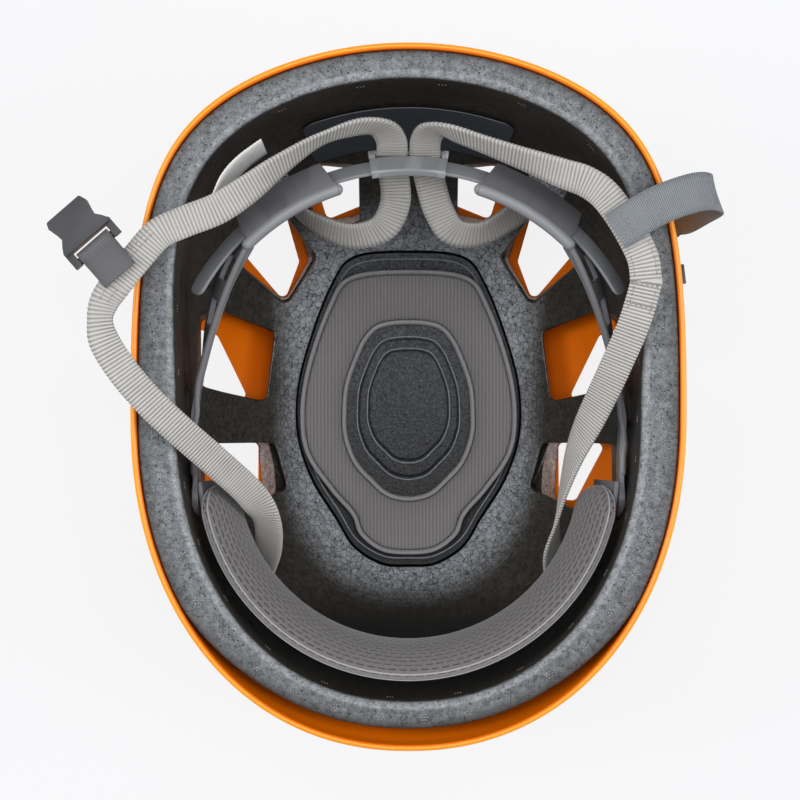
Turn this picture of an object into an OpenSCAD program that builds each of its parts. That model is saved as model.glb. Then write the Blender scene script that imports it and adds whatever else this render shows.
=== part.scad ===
// Climbing and tree-work helmet, standing on its crown with the opening up.
// Frame: origin under the crown, +Z towards the opening, -Y the brow, +Y the nape. Left is -X and
// right is +X, as seen looking into the opening with the brow nearest. Millimetres.

/* [Outer shell] */
// From the forehead pad's inner face to the shell's flat sides
side_room = 26.8; // [24:0.1:32]
// From the nape band to the shell's rim
rear_room = 46.5; // [42:0.5:52]
// From the forehead pad's inner face to the shell's rim at the brow
front_room = 27.2; // [25:0.1:32]
// Roundness of the rear corners of the outline, higher is squarer
rear_corner = 7.4; // [5:0.1:9]
// Roundness of the brow outline, 2 is an ellipse
brow_corner = 2.15; // [2:0.05:2.6]
// Height of the rim above the crown at the ears
rim_height = 148; // [140:1:158]
// Extra height of the rim at the nape, lost again at the brow
rim_rake = 8; // [0:1:12]
// Wall of the moulded shell
shell_wall = 2.5; // [2:0.1:3.2]
// Outward flare of the shell's lip at the brow, beyond the foam
brow_flare = 6; // [4:0.5:8]
// Fullness of the shell's side profile, 2 is an ellipse
shell_fullness = 2.2; // [2:0.05:2.6]
// Corner radius of the vents
vent_corner = 2.5; // [1.5:0.1:3.5]

/* [Foam liner] */
// Gap between shell and foam
liner_gap = 0.3; // [0.2:0.05:0.6]
// From the shell's outside to the foam's inside at the ears
liner_side = 18.3; // [17:0.1:20]
// From the shell's outside to the foam's inside at the nape
liner_rear = 14; // [12:0.1:17]
// From the shell's outside to the foam's inside at the brow
liner_front = 20; // [18:0.1:22]
// Height of the foam's inner face above the ground at the crown
liner_crown = 24.5; // [20:0.5:28]
// Fullness of the foam's inner profile
liner_fullness = 2.35; // [2:0.05:2.6]
// Foam rim below the shell's edge
liner_drop = 1.5; // [0.5:0.1:3]
// Corner radius of the foam windows
window_corner = 3; // [2:0.1:4]

/* [Crown] */
// Gap round the crown insert
insert_gap = 0.6; // [0.4:0.1:1.2]
// Crown insert above the liner's inner face
insert_rise = 0.8; // [0.4:0.1:1.5]
// Depth of each step in the insert's centre
insert_step = 1.4; // [0.8:0.1:2]
// Height of the hook discs under the crown pad
hook_height = 1.2; // [0.8:0.1:2]
// Radius of a hook disc
hook_radius = 6; // [4:0.5:8]
// Thickness of the crown pad
crown_pad_thick = 5.5; // [4:0.5:8]

/* [Headband] */
// Radius of the forehead pad's inner face at its rim edge
pad_radius = 86; // [82:0.5:88]
// Centre of the forehead arc, in front of the crown
brow_centre = 20; // [18:0.1:21]
// Height of the forehead pad
pad_height = 38; // [30:1:40]
// Thickness of the forehead pad
pad_thick = 7; // [5:0.5:8]
// Lean of the forehead pad from upright, in degrees
pad_lean = 16; // [10:1:20]
// Rim edge of the pad above the cradle's pivot axis
pad_rise = 18; // [15:0.5:21]
// Thickness of the front band's plastic
band_wall = 1.6; // [1.2:0.1:2]
// Height of the front band
band_height = 24; // [18:1:28]
// Thickness of the hook strip between pad and front band
strip_thick = 0.8; // [0.5:0.1:1]
// Height of the cradle's pivot axis
pivot_height = 112; // [108:1:116]
// Distance of the pivot axis in front of the crown
pivot_forward = 32; // [30:0.5:34]
// Radius of the pivot pins
pin_radius = 2.5; // [2:0.1:3]
// Running clearance round a pivot pin
pin_clearance = 0.06; // [0.03:0.01:0.1]
// Thickness of a cradle arm
arm_wall = 2; // [1.6:0.1:2.4]
// Height of a cradle arm
arm_height = 15; // [12:0.5:17]
// Length of a slot in a cradle arm
arm_slot = 11; // [8:0.5:12]

/* [Nape adjuster] */
// Radius of the nape band, beyond that of the forehead pad
nape_room = 12; // [9:0.5:14]
// Axis of the nape band, behind the crown
nape_centre = 5; // [3:0.5:7]
// Height of the middle of the nape band
nape_height = 131; // [127:0.5:135]
// Thickness of the nape band
nape_wall = 1.4; // [1.2:0.1:2]
// Width of the nape band
nape_width = 9; // [7:0.5:10]
// Lean of the nape band and sliders from upright, in degrees
nape_lean = 37; // [30:1:42]
// Half the angle that the nape band spans
nape_half_angle = 62; // [58:1:64]
// Running gap of the nape band in a slider
slider_gap = 0.35; // [0.3:0.05:0.5]
// Wall of a slider round the band
slider_wall = 1.5; // [1.2:0.1:2]
// Height of a slider's plate
slider_height = 19; // [16:0.5:21]
// Radius of the finger rail along a slider's edge
rail_radius = 2.4; // [2:0.1:3]
// Angle that one slider spans
slider_span = 28; // [24:1:30]
// Angle between the middle of the nape band and a slider's near end
slider_start = 15.5; // [15:0.5:17]
// Half the angle that the strap guide spans
guide_half_angle = 9; // [8:0.5:10]
// Drop of the guide's strap opening below the band
guide_drop = 6; // [5:0.5:8]

/* [Straps and buckle] */
// Width of the side straps
strap_width = 12.5; // [11:0.5:14]
// Width of the chin webbing
chin_width = 15.5; // [14:0.5:17]
// Thickness of the webbing
web_thick = 1.3; // [1:0.1:1.6]
// Length of the socket buckle
socket_length = 19.5; // [18.5:0.5:22]
// Width of the buckle at its webbing bar
buckle_width = 23; // [21.5:0.5:26]
// Thickness of the socket buckle
socket_thick = 8.4; // [7.8:0.2:9]
// Width of the socket's mouth
mouth_width = 14; // [12:0.5:15]
// Height of the socket's mouth
mouth_height = 5; // [4.8:0.1:5.4]
// Radius of a webbing bar
bar_radius = 1.6; // [1.3:0.1:2]
// Thickness of the tongue half of the buckle
tongue_thick = 4; // [3.5:0.1:4.2]
// Length of a tongue prong
prong_length = 14; // [12:0.5:15]
// Running gap between moving buckle pieces
buckle_gap = 0.3; // [0.25:0.05:0.5]

/* [Clips and labels] */
// Length of a lamp clip
clip_length = 20; // [16:0.5:24]
// Width of a lamp clip
clip_width = 8; // [7:0.5:11]
// Gap under a lamp clip's tongue for a lamp strap
clip_gap = 2.2; // [2:0.1:4]
// Wall of a lamp clip
clip_wall = 1.6; // [1.5:0.1:2.5]
// How far a lamp clip hangs below its stud
clip_drop = 6; // [4:0.5:7]
// Radius of a clip's stud
stud_radius = 2; // [1.5:0.1:2.5]
// Thickness of the label on the foam
label_thick = 0.4; // [0.3:0.1:0.6]

/* [Hidden] */
$fn = 48;
around = 64;          // points round a dome ring
crown_flat = 0.06;    // share of the profile that the flat rest under the crown takes
flare_start = 0.9;    // share of the profile where the brow lip starts to flare

// The head's size sets the shell's
nape_radius = pad_radius + nape_room;
nape_back = nape_centre + nape_radius;
shell_side = pad_radius + side_room;
shell_rear = nape_back + rear_room;
shell_front = brow_centre + pad_radius + front_room;

// Hand-chosen points were set out for these sizes, and go with the shell when it changes
set_out_side = 112.8;
set_out_rear = 149.5;
set_out_front = 133.2;
set_out_rim = 148;
function across(x) = x * shell_side / set_out_side;
function along(y) = y * (y >= 0 ? shell_rear / set_out_rear : shell_front / set_out_front);
function upward(z) = z * rim_height / set_out_rim;
function plan(points) = [for (p = points) [across(p[0]), along(p[1])]];
function fit(route) = [for (p = route) [across(p[0]), along(p[1]), upward(p[2]), p[3], p[4], p[5]]];

// Outline of the rim seen from above: radius at the polar angle a, counted from +X
function rear_reach(a) =
    pow(pow(abs(cos(a)) / shell_side, rear_corner) + pow(1 / shell_rear, rear_corner), -1 / rear_corner);
ear_reach = rear_reach(0);
function brow_reach(a) =
    pow(pow(abs(cos(a)) / ear_reach, brow_corner) + pow(abs(sin(a)) / shell_front, brow_corner),
        -1 / brow_corner);
function reach(a) = sin(a) >= 0 ? rear_reach(a) : brow_reach(a);
function rim(a) = rim_height + rim_rake * sin(a);

// Side profile: share of the reach and of the height at a level t between 0 and 1
function out_share(t, full) = pow(sin(90 * t), 2 / full);
function up_share(t, full) =
    let (flat = pow(cos(90 * crown_flat), 2 / full))
    (flat - pow(max(0, cos(90 * t)), 2 / full)) / flat;
levels = concat([for (k = [0 : 12]) crown_flat + (0.92 - crown_flat) * k / 12], [0.96, 1]);
function ease(v) = let (u = max(0, min(1, v))) u * u * (3 - 2 * u);
function flare(a) = brow_flare * ease(-sin(a) * 2.5 - 1.5);
function flare_inset(a, t) = flare(a) * (1 - ease((t - flare_start) / (1 - flare_start)));

function dome(a, t, inset, base, top, full) =
    let (r = (reach(a) - inset) * out_share(t, full))
    [r * cos(a), r * sin(a), base + (top - base) * up_share(t, full)];

// Height of a dome's face over a point of the plan
function height_over(x, y, inset, base, drop, full) =
    let (a = atan2(y, x))
    let (s = min(1, norm([x, y]) / (reach(a) - inset)))
    let (flat = pow(cos(90 * crown_flat), 2 / full))
    let (flat_out = out_share(crown_flat, full))
    s <= flat_out ? base
        : base + (rim(a) - drop - base) * (flat - pow(1 - pow(s, full), 1 / full)) / flat;

// Foam faces
liner_skin = shell_wall + liner_gap;
function liner_inset(a) =
    let (s = sin(a))
    liner_side + (s >= 0 ? (liner_rear - liner_side) : (liner_front - liner_side)) * s * s;
function inner_height(x, y) =
    height_over(x, y, liner_inset(atan2(y, x)), liner_crown, liner_drop, liner_fullness);
function skin_height(x, y) =
    height_over(x, y, liner_skin + flare(atan2(y, x)), liner_skin, 0, shell_fullness);
function inner_wall(a, z) =
    let (flat = pow(cos(90 * crown_flat), 2 / liner_fullness))
    let (top = rim(a) - liner_drop)
    let (c = flat * (1 - (z - liner_crown) / (top - liner_crown)))
    (reach(a) - liner_inset(a)) * pow(1 - pow(max(0, c), liner_fullness), 1 / liner_fullness);
function shell_wall_at(a, z) =
    let (flat = pow(cos(90 * crown_flat), 2 / shell_fullness))
    let (c = flat * (1 - z / rim(a)))
    (reach(a) - flare(a)) * pow(1 - pow(max(0, c), shell_fullness), 1 / shell_fullness);

// Solid through a row of rings with equal point counts, closed at both ends
module skin(rings) {
    n = len(rings[0]);
    m = len(rings);
    points = [for (ring = rings) each ring];
    sides = [for (k = [0 : m - 2]) for (i = [0 : n - 1])
        let (j = (i + 1) % n)
        each [[k * n + i, (k + 1) * n + j, k * n + j], [k * n + i, (k + 1) * n + i, (k + 1) * n + j]]];
    first = [for (i = [0 : n - 1]) i];
    last = [for (i = [n - 1 : -1 : 0]) (m - 1) * n + i];
    polyhedron(points, concat([first], sides, [last]), 4);
}

// Ring-shaped solid, the last ring joined back to the first
module hoop(rings) {
    n = len(rings[0]);
    m = len(rings);
    points = [for (ring = rings) each ring];
    polyhedron(points, [for (k = [0 : m - 1]) for (i = [0 : n - 1])
        let (j = (i + 1) % n)
        let (q = (k + 1) % m)
        each [[k * n + i, q * n + j, k * n + j], [k * n + i, q * n + i, q * n + j]]], 4);
}

function turn(k) = 360 * k / around;

// Smooth curve through hand-chosen points, any number of values a point
function spline(a, b, c, d, u) =
    (2 * b + (c - a) * u + (2 * a - 5 * b + 4 * c - d) * u * u + (3 * b - a - 3 * c + d) * u * u * u) / 2;
function open_curve(p, per) =
    let (n = len(p))
    [for (k = [0 : n - 2]) for (i = [0 : per - (k == n - 2 ? 0 : 1)])
        spline(p[max(0, k - 1)], p[k], p[k + 1], p[min(n - 1, k + 2)], i / per)];
function closed_curve(p, per) =
    let (n = len(p))
    [for (k = [0 : n - 1]) for (i = [0 : per - 1])
        spline(p[(k + n - 1) % n], p[k], p[(k + 1) % n], p[(k + 2) % n], i / per)];
// The right half runs from the nape end to the brow end; the left half mirrors it
function both_halves(p) =
    concat([for (k = [len(p) - 1 : -1 : 0]) p[k]],
        [for (k = [1 : len(p) - 2]) [-p[k][0], p[k][1]]]);
function about(p, centre, share) = [for (q = p) centre + (q - centre) * share];

// Flat webbing along a route of points, each with the direction of the webbing's width
module webbing(route, width, thick, per = 4) {
    spots = open_curve([for (p = route) [p[0], p[1], p[2]]], per);
    ways = open_curve([for (p = route) [p[3], p[4], p[5]]], per);
    n = len(spots);
    skin([for (k = [0 : n - 1])
        let (along = spots[min(n - 1, k + 1)] - spots[max(0, k - 1)])
        let (t = along / norm(along))
        let (raw = ways[k] - t * (ways[k] * t))
        let (w = raw / norm(raw) * width / 2)
        let (h = cross(t, w) / norm(w) * thick / 2)
        [spots[k] - w - h, spots[k] + w - h, spots[k] + w + h, spots[k] - w + h]]);
}

// A convex upright hole with rounded corners, wider or narrower at its foot
module opening(top, foot, top_z, knee_z, foot_z, r) {
    hull() {
        for (p = top) {
            translate([p[0], p[1], knee_z])
                cylinder(h = top_z - knee_z, r = r, $fn = 12);
        }
        for (p = foot) {
            translate([p[0], p[1], foot_z])
                cylinder(h = 1, r = r, $fn = 12);
        }
    }
}
module both_sides() {
    children();
    mirror([1, 0, 0])
        children();
}

// Vents: corners in the plan for the right side, nape to brow
shell_vents = [
    [[22, 97.5], [34.5, 92.5], [37, 101], [37, 110], [23, 112]],
    [[56, 88], [51.5, 71], [56.5, 58], [70, 74], [66, 87]],
    [[85.5, 35], [75, 11.5], [88, 12], [92, 37]],
    [[69.5, -12.5], [82.5, -12.5], [72.5, -33], [69.5, -33]]];
foam_windows = [
    [[24.5, 107], [24.5, 86], [31, 84.5], [39, 91], [39, 106]],
    [[55, 86], [44, 71.5], [54.5, 55], [71.5, 70], [68, 82]],
    [[62, 37], [81, 44], [85, 41], [85, 17], [65, 11.5]],
    [[61, -13], [84, -13], [84, -34], [81.5, -40], [63, -31], [57, -28.5]]];
// Foot of each window, where it meets the shell
window_feet = [
    [[24.5, 107], [24.5, 94], [33, 92.5], [40, 97], [40, 108]],
    [[55, 86], [48.5, 71.5], [56, 58], [72, 72], [69, 84]],
    [[63, 37], [83, 44], [88, 41], [88, 17], [66, 12]],
    [[69, -13], [86, -13], [86, -34], [83.5, -40], [70, -34], [69, -31]]];
window_knee = [50, 46, 56, 47];
window_sill = [32, 23, 20, 28];
window_head = rim_height - 30;

// Crown outlines, right half from the nape end to the brow end
insert_half = [[0, 74], [24, 71.5], [34, 59], [43, 36], [48.5, 14], [48.5, -7], [42.5, -26], [32, -43],
    [24, -55.5], [12, -63], [0, -64]];
pad_outer_half = [[0, 66.5], [26, 63.5], [36, 50], [45, 24], [48, 3], [45.5, -15], [35, -31], [25.5, -42],
    [21.5, -51], [12, -58], [0, -59.5]];
pad_hole_half = [[0, 42.5], [12, 41], [18, 36], [22.5, 27], [26.5, 15], [27.5, 3], [27, -7], [23, -18],
    [16, -26], [9, -32], [0, -34]];
crown_per = 3;
insert_line = closed_curve(plan(both_halves(insert_half)), crown_per);
pad_outer_line = closed_curve(plan(both_halves(pad_outer_half)), crown_per);
pad_hole_line = closed_curve(plan(both_halves(pad_hole_half)), crown_per);
crown_middle = [0, 8];
hook_spots = plan([[36, 12], [-36, 12], [0, 54], [0, -46]]);

// Anchors: polar angle and height on the foam's inner wall
anchor_front_angle = -45;
anchor_front_height = upward(72);
anchor_rear_angle = 59.5;
anchor_rear_height = upward(82);
anchor_width = 17;
anchor_depth = 7;
anchor_height = 12;
pocket_gap = 0.4;

module at_wall(a, z) {
    rotate([0, 0, a])
        translate([inner_wall(a, z), 0, z])
            children();
}
module at_anchors() {
    for (spot = [[anchor_front_angle, anchor_front_height], [180 - anchor_front_angle, anchor_front_height],
        [anchor_rear_angle, anchor_rear_height], [180 - anchor_rear_angle, anchor_rear_height]]) {
        at_wall(spot[0], spot[1])
            children();
    }
}

// Lamp clips: polar angle and height on the shell's outside
clip_rear_angle = 29;
clip_front_angle = -33;
clip_rear_height = upward(118);
clip_front_height = upward(98);
clip_stand = 0.8;
stud_hole = stud_radius + 0.2;
function clip_height(a) = sin(a) < 0 ? clip_front_height : clip_rear_height;
function clip_point(a, z) = shell_wall_at(a, z) * [cos(a), sin(a)];
module at_clip(a) {
    z = clip_height(a);
    along = clip_point(a + 1, z) - clip_point(a - 1, z);
    tilt = atan((shell_wall_at(a, z + 1) - shell_wall_at(a, z - 1)) / 2);
    translate([clip_point(a, z)[0], clip_point(a, z)[1], z])
        rotate([0, tilt, atan2(along[1], along[0]) - 90])
            children();
}

// Shell and foam
module dome_wall(rings_out, rings_in) {
    skin(concat(rings_out, [for (k = [len(rings_in) - 1 : -1 : 0]) rings_in[k]]));
}
module outer_shell() {
    color("darkorange")
        difference() {
            dome_wall(
                [for (t = levels) [for (i = [0 : around - 1])
                    let (a = turn(i))
                    dome(a, t, flare_inset(a, t), 0, rim(a), shell_fullness)]],
                [for (t = levels) [for (i = [0 : around - 1])
                    let (a = turn(i))
                    dome(a, t, shell_wall + flare_inset(a, t), shell_wall, rim(a), shell_fullness)]]);
            both_sides()
                for (vent = shell_vents) {
                    opening(plan(vent), plan(vent), rim_height, 5, -5, vent_corner);
                }
            for (a = [clip_rear_angle, 180 - clip_rear_angle, clip_front_angle, 180 - clip_front_angle]) {
                at_clip(a)
                    rotate([0, 90, 0])
                        cylinder(h = 4 * shell_wall, r = stud_hole, center = true, $fn = 24);
            }
        }
}

module foam_liner() {
    color("dimgray")
        difference() {
            dome_wall(
                [for (t = levels) [for (i = [0 : around - 1])
                    let (a = turn(i))
                    let (p = dome(a, t, liner_skin + flare(a), liner_skin, rim(a), shell_fullness))
                    [p[0], p[1], min(p[2], rim(a) - liner_drop)]]],
                [for (t = levels) [for (i = [0 : around - 1])
                    let (a = turn(i))
                    dome(a, t, liner_inset(a), liner_crown, rim(a) - liner_drop, liner_fullness)]]);
            both_sides()
                for (k = [0 : len(foam_windows) - 1]) {
                    opening(plan(foam_windows[k]), plan(window_feet[k]), window_head,
                        upward(window_knee[k]), upward(window_sill[k]), window_corner);
                }
            linear_extrude(2 * liner_crown + pad_height)
                polygon(about(insert_line, crown_middle, 1 + insert_gap / 50));
            at_anchors()
                cube([2 * (anchor_depth + pocket_gap), anchor_width + 2 * pocket_gap,
                    anchor_height + 2 * pocket_gap], center = true);
            both_sides()
                translate([pin_root, -pivot_forward, pivot_height])
                    rotate([0, 90, 0])
                        union() {
                            cylinder(h = pin_foot - pin_root + 1, r = pin_radius + pocket_gap / 2, $fn = 24);
                            cylinder(h = eye_wall + eye_room, r = arm_height / 2 + 2 * eye_room, $fn = 32);
                            for (stow = [0 : arm_stow / 2 : arm_stow]) {
                                rotate([0, 0, -stow])
                                    translate([-arm_height / 2 - 2 * eye_room, 0, 0])
                                        cube([arm_height + 4 * eye_room, arm_channel, eye_wall + eye_room]);
                            }
                        }
        }
}

module crown_insert() {
    top = function (p, drop) [p[0], p[1], inner_height(p[0], p[1]) + insert_rise - drop];
    foot = function (p) [p[0], p[1], skin_height(p[0], p[1])];
    step_one = about(pad_hole_line, [0, 11], 0.8);
    step_two = about(pad_hole_line, [0, 11], 0.64);
    color("darkslategray")
        skin(concat(
            [for (share = [0.04, 0.5, 1]) [for (p = about(insert_line, crown_middle, share)) foot(p)]],
            [for (p = [0, 1 / 3, 2 / 3]) [for (i = [0 : len(insert_line) - 1])
                top(insert_line[i] + (step_one[i] - insert_line[i]) * p, 0)]],
            [for (drop = [0, insert_step])
                [for (p = about(step_one, crown_middle, 1 - drop / 40)) top(p, drop)]],
            [for (drop = [insert_step, 2 * insert_step])
                [for (p = about(step_two, crown_middle, 1 - drop / 40)) top(p, drop)]],
            [[for (p = about(step_two, crown_middle, 0.05)) top(p, 2 * insert_step)]]));
}

module crown_pad() {
    mid_line = (pad_outer_line + pad_hole_line) / 2;
    crown = function (p, lift) [p[0], p[1], inner_height(p[0], p[1]) + insert_rise + hook_height + lift];
    ring = function (share, lift) [for (i = [0 : len(mid_line) - 1])
        crown(share > 0 ? mid_line[i] + (pad_outer_line[i] - mid_line[i]) * share
            : mid_line[i] - (pad_hole_line[i] - mid_line[i]) * share, lift)];
    t = crown_pad_thick;
    color("gray")
        hoop([ring(0, 0), ring(0.96, 0), ring(1, t * 0.22), ring(0.97, t * 0.5), ring(0.72, t * 0.9),
            ring(0.01, t),
            ring(-0.72, t * 0.9), ring(-0.97, t * 0.5), ring(-1, t * 0.22), ring(-0.96, 0)]);
}

module crown_pad_hooks() {
    seat = function (x, y, lift) [x, y, inner_height(x, y) + insert_rise + lift];
    rest = 0.25;
    head = hook_height - seat_gap;
    color("black")
        for (spot = hook_spots) {
            skin([for (ring = [[0.05, rest], [1, rest], [1, head], [0.05, head]])
                [for (i = [0 : 23]) seat(spot[0] + hook_radius * ring[0] * cos(15 * i),
                    spot[1] + hook_radius * ring[0] * sin(15 * i), ring[1])]]);
        }
}

// Headband. A leaning section turned about the brow centre
pad_top = pivot_height + pad_rise;
function lean_back(z) = pad_radius - (pad_top - z) * tan(pad_lean);
pad_foot = pad_top - pad_height;
pad_half_angle = 85;
band_half_angle = 86.5;
band_drop = 2;
band_mid = pivot_height - band_drop;
seat_gap = 0.1;
band_out = strip_thick + 2 * seat_gap + band_wall;
pin_head = lean_back(pivot_height) + seat_gap + strip_thick / 2;
pin_root = lean_back(pivot_height + arm_height / 2 + 1) + band_out;
pin_foot = inner_wall(180 + atan(pivot_forward / pin_root), pivot_height) + 4;

module brow_arc(half) {
    translate([0, -brow_centre, 0])
        rotate([0, 0, 270 - half])
            rotate_extrude(angle = 2 * half, $fn = 96)
                children();
}
function leaning(z0, z1, inside, outside) =
    [[lean_back(z0) + inside, z0], [lean_back(z0) + outside, z0],
        [lean_back(z1) + outside, z1], [lean_back(z1) + inside, z1]];

module forehead_pad() {
    bulge = function (u) 1.6 + (pad_thick - 1.6) * pow(sin(180 * u), 0.6);
    color("dimgray")
        brow_arc(pad_half_angle)
            polygon(concat(
                [for (u = [0 : 0.125 : 1]) [lean_back(pad_foot + pad_height * u) - bulge(u),
                    pad_foot + pad_height * u]],
                [[lean_back(pad_top), pad_top], [lean_back(pad_foot), pad_foot]]));
}
module forehead_hook_strip() {
    color("black")
        brow_arc(pad_half_angle - 5)
            polygon(leaning(band_mid - band_height / 4, band_mid + band_height / 4,
                seat_gap, seat_gap + strip_thick));
}
module front_band() {
    color("gray")
        difference() {
            brow_arc(band_half_angle)
                polygon(leaning(band_mid - band_height / 2, band_mid + band_height / 2,
                    band_out - band_wall, band_out));
            both_sides()
                translate([pin_root - 2 * band_out, -pivot_forward, pivot_height])
                    rotate([0, 90, 0])
                        cylinder(h = 4 * band_out, r = pin_radius);
        }
}
module pivot_pin() {
    color("gray")
        translate([pin_head, -pivot_forward, pivot_height])
            rotate([0, 90, 0])
                cylinder(h = pin_foot - pin_head, r = pin_radius);
}
module pivot_pin_right() {
    pivot_pin();
}
module pivot_pin_left() {
    mirror([1, 0, 0])
        pivot_pin();
}

// Cradle arm on the right, from its eye on the pivot to the slider
eye_wall = arm_wall + 0.6;
eye_room = 0.9;
// The arm swings down into a shallow channel in the foam
arm_stow = 10;
arm_channel = 44;
arm_inset = pin_root + eye_wall / 2 + 0.3;
arm_room = 0.3;
arm_middle = min(arm_inset + 0.6, inner_wall(0, pivot_height - arm_height / 2) - arm_wall / 2 - arm_room);
arm_side = min(arm_inset, arm_middle);
arm_reach = nape_radius - 3;
arm_end = 45.7;
function arm_rise(share) = pivot_height + (nape_height - pivot_height) * share;
arm_route = [
    [arm_inset, -pivot_forward, pivot_height, 0, 0, 1],
    [arm_side, -12, pivot_height, 0, 0, 1],
    [arm_middle, 2, pivot_height + 1.5, 0, 0, 1],
    [arm_side - 2.9, along(20), arm_rise(0.26), -0.1, 0, 1],
    [arm_side - 7, along(40), arm_rise(0.5), -0.3, -0.15, 0.94],
    [arm_side - 13, along(58), arm_rise(0.76), -0.42, -0.33, 0.84],
    [arm_reach * cos(arm_end), nape_centre + arm_reach * sin(arm_end), arm_rise(0.91),
        -0.42, -0.43, 0.8]];
module arm() {
    spots = open_curve([for (p = arm_route) [p[0], p[1], p[2]]], 5);
    color("gray")
        difference() {
            union() {
                webbing(arm_route, arm_height, arm_wall, 5);
                translate([arm_inset - eye_wall / 2, -pivot_forward, pivot_height])
                    rotate([0, 90, 0])
                        cylinder(h = eye_wall, r = arm_height / 2 + 0.4);
            }
            translate([arm_inset - 2 * arm_wall, -pivot_forward, pivot_height])
                rotate([0, 90, 0])
                    cylinder(h = 4 * arm_wall, r = pin_radius + pin_clearance);
            for (k = [6, 11, 16, 21, 26]) {
                way = spots[k + 1] - spots[k - 1];
                translate(spots[k])
                    rotate([asin(way[2] / norm(way)), 0, atan2(way[1], way[0]) - 90])
                        rotate([0, -nape_lean * max(0, k - 8) / 20, 0])
                            cube([6 * arm_wall, arm_slot, arm_height * 0.5], center = true);
            }
        }
}
module arm_right() {
    arm();
}
module arm_left() {
    mirror([1, 0, 0])
        arm();
}

// Nape adjuster. Sections are drawn along the lean: x across the band, y along its width
module nape_arc(from, to) {
    translate([0, nape_centre, 0])
        rotate([0, 0, from])
            rotate_extrude(angle = to - from, $fn = 96)
                translate([nape_radius, nape_height])
                    rotate(nape_lean)
                        children();
}
module nape_band() {
    color("silver")
        nape_arc(90 - nape_half_angle, 90 + nape_half_angle)
            square([nape_wall, nape_width], center = true);
}
slider_corner = 2;
tunnel_wall = nape_wall + 2 * slider_gap;
tunnel_width = nape_width + 2 * slider_gap;
module slider_section() {
    difference() {
        union() {
            square([tunnel_wall + 2 * slider_wall, slider_height], center = true);
            translate([0, slider_height / 2])
                circle(r = rail_radius);
            translate([0, -slider_height / 2])
                circle(r = tunnel_wall / 2 + slider_wall);
        }
        square([tunnel_wall, tunnel_width], center = true);
    }
}
// Outline of a slider seen on its face: x along the band from the nape, y towards the rail
module slider_outline() {
    half = nape_radius * sin(slider_span / 2) + 1;
    edge = slider_height / 2 + rail_radius + 1;
    offset(r = slider_corner)
        offset(delta = -slider_corner)
            polygon([[-half, edge], [half, edge], [half, edge * 0.3], [half * 0.8, -edge * 0.7],
                [half * 0.45, -edge], [-half * 0.3, -edge], [-half * 0.65, -edge * 0.5],
                [-half * 0.8, edge * 0.5], [-half, edge * 0.6]]);
}
module slider_right() {
    color("gray")
        intersection() {
            nape_arc(90 - slider_start - slider_span, 90 - slider_start)
                slider_section();
            translate([0, nape_centre, 0])
                rotate([0, 0, -slider_start - slider_span / 2])
                    translate([0, nape_radius, nape_height])
                        rotate([90 - nape_lean, 0, 0])
                            linear_extrude(nape_radius / 2, center = true)
                                slider_outline();
        }
}
module slider_left() {
    mirror([1, 0, 0])
        slider_right();
}
guide_bar = 1;
guide_leg = 1.4;
guide_gap = 0.1;
module nape_guide() {
    color("silver") {
        nape_arc(90 - guide_half_angle, 90 + guide_half_angle)
            difference() {
                offset(r = guide_bar, $fn = 24)
                    square([nape_wall + 2 * guide_gap, nape_width + 2 * guide_gap], center = true);
                square([nape_wall + 2 * guide_gap, nape_width + 2 * guide_gap], center = true);
            }
        nape_arc(90 - guide_half_angle, 90 + guide_half_angle)
            translate([0, -nape_width / 2 - guide_bar - guide_drop])
                square([2 * guide_bar, 2 * guide_bar], center = true);
        for (end = [90 - guide_half_angle, 90 + guide_half_angle - guide_leg]) {
            nape_arc(end, end + guide_leg)
                translate([0, -nape_width / 2 - guide_bar - guide_drop / 2])
                    square([2 * guide_bar, guide_drop + guide_bar], center = true);
        }
    }
}

// Strap anchors: a block let into the foam with a bar across its mouth
module anchor() {
    color("dimgray")
        translate([0, 0, -anchor_height / 2])
            difference() {
                translate([0, -anchor_width / 2, 0])
                    cube([anchor_depth, anchor_width, anchor_height]);
                translate([-1, -strap_width / 2 - 0.5, anchor_height / 2 - 1])
                    cube([anchor_depth - 1, strap_width + 1, anchor_height]);
            }
}
module anchor_front_right() {
    at_wall(anchor_front_angle, anchor_front_height)
        anchor();
}
module anchor_front_left() {
    at_wall(180 - anchor_front_angle, anchor_front_height)
        anchor();
}
module anchor_rear_right() {
    at_wall(anchor_rear_angle, anchor_rear_height)
        anchor();
}
module anchor_rear_left() {
    at_wall(180 - anchor_rear_angle, anchor_rear_height)
        anchor();
}

// Strap routes: point, then the direction of the webbing's width
socket_spot = [across(-121.7), along(67.2), upward(169)];
function into_guide(side) =
    [[7 * side, nape_back + 10.5, nape_height, -side, 0, 0],
    [6.8 * side, nape_back + 5.2, nape_height - 7, -side, 0, 0]];
front_left_route = concat(fit([
    [-62.5, -62.5, 74.5, -0.7, 0.7, 0],
    [-59, -52.5, 90, -0.75, 0.6, 0.1],
    [-59, -41, 106, -0.8, 0.4, 0.25],
    [-65, -30, 120, -0.8, -0.4, 0.25],
    [-77, -17.5, 136, -0.75, -0.65, 0.1],
    [-89.5, -5.5, 150, -0.75, -0.65, 0],
    [-101, 6, 159, -0.75, -0.65, 0],
    [-111, 18, 165, -0.8, -0.6, 0],
    [-118.5, 30, 168, -0.85, -0.4, -0.2],
    [-120.5, 38.5, 168.5, -0.8, 0, -0.55],
    [-119, 46, 167.4, -0.85, 0.35, -0.35]]),
    [concat(socket_spot + [6.2, -15.4, -2.4], [-0.75, 0.6, -0.15])]);
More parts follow.
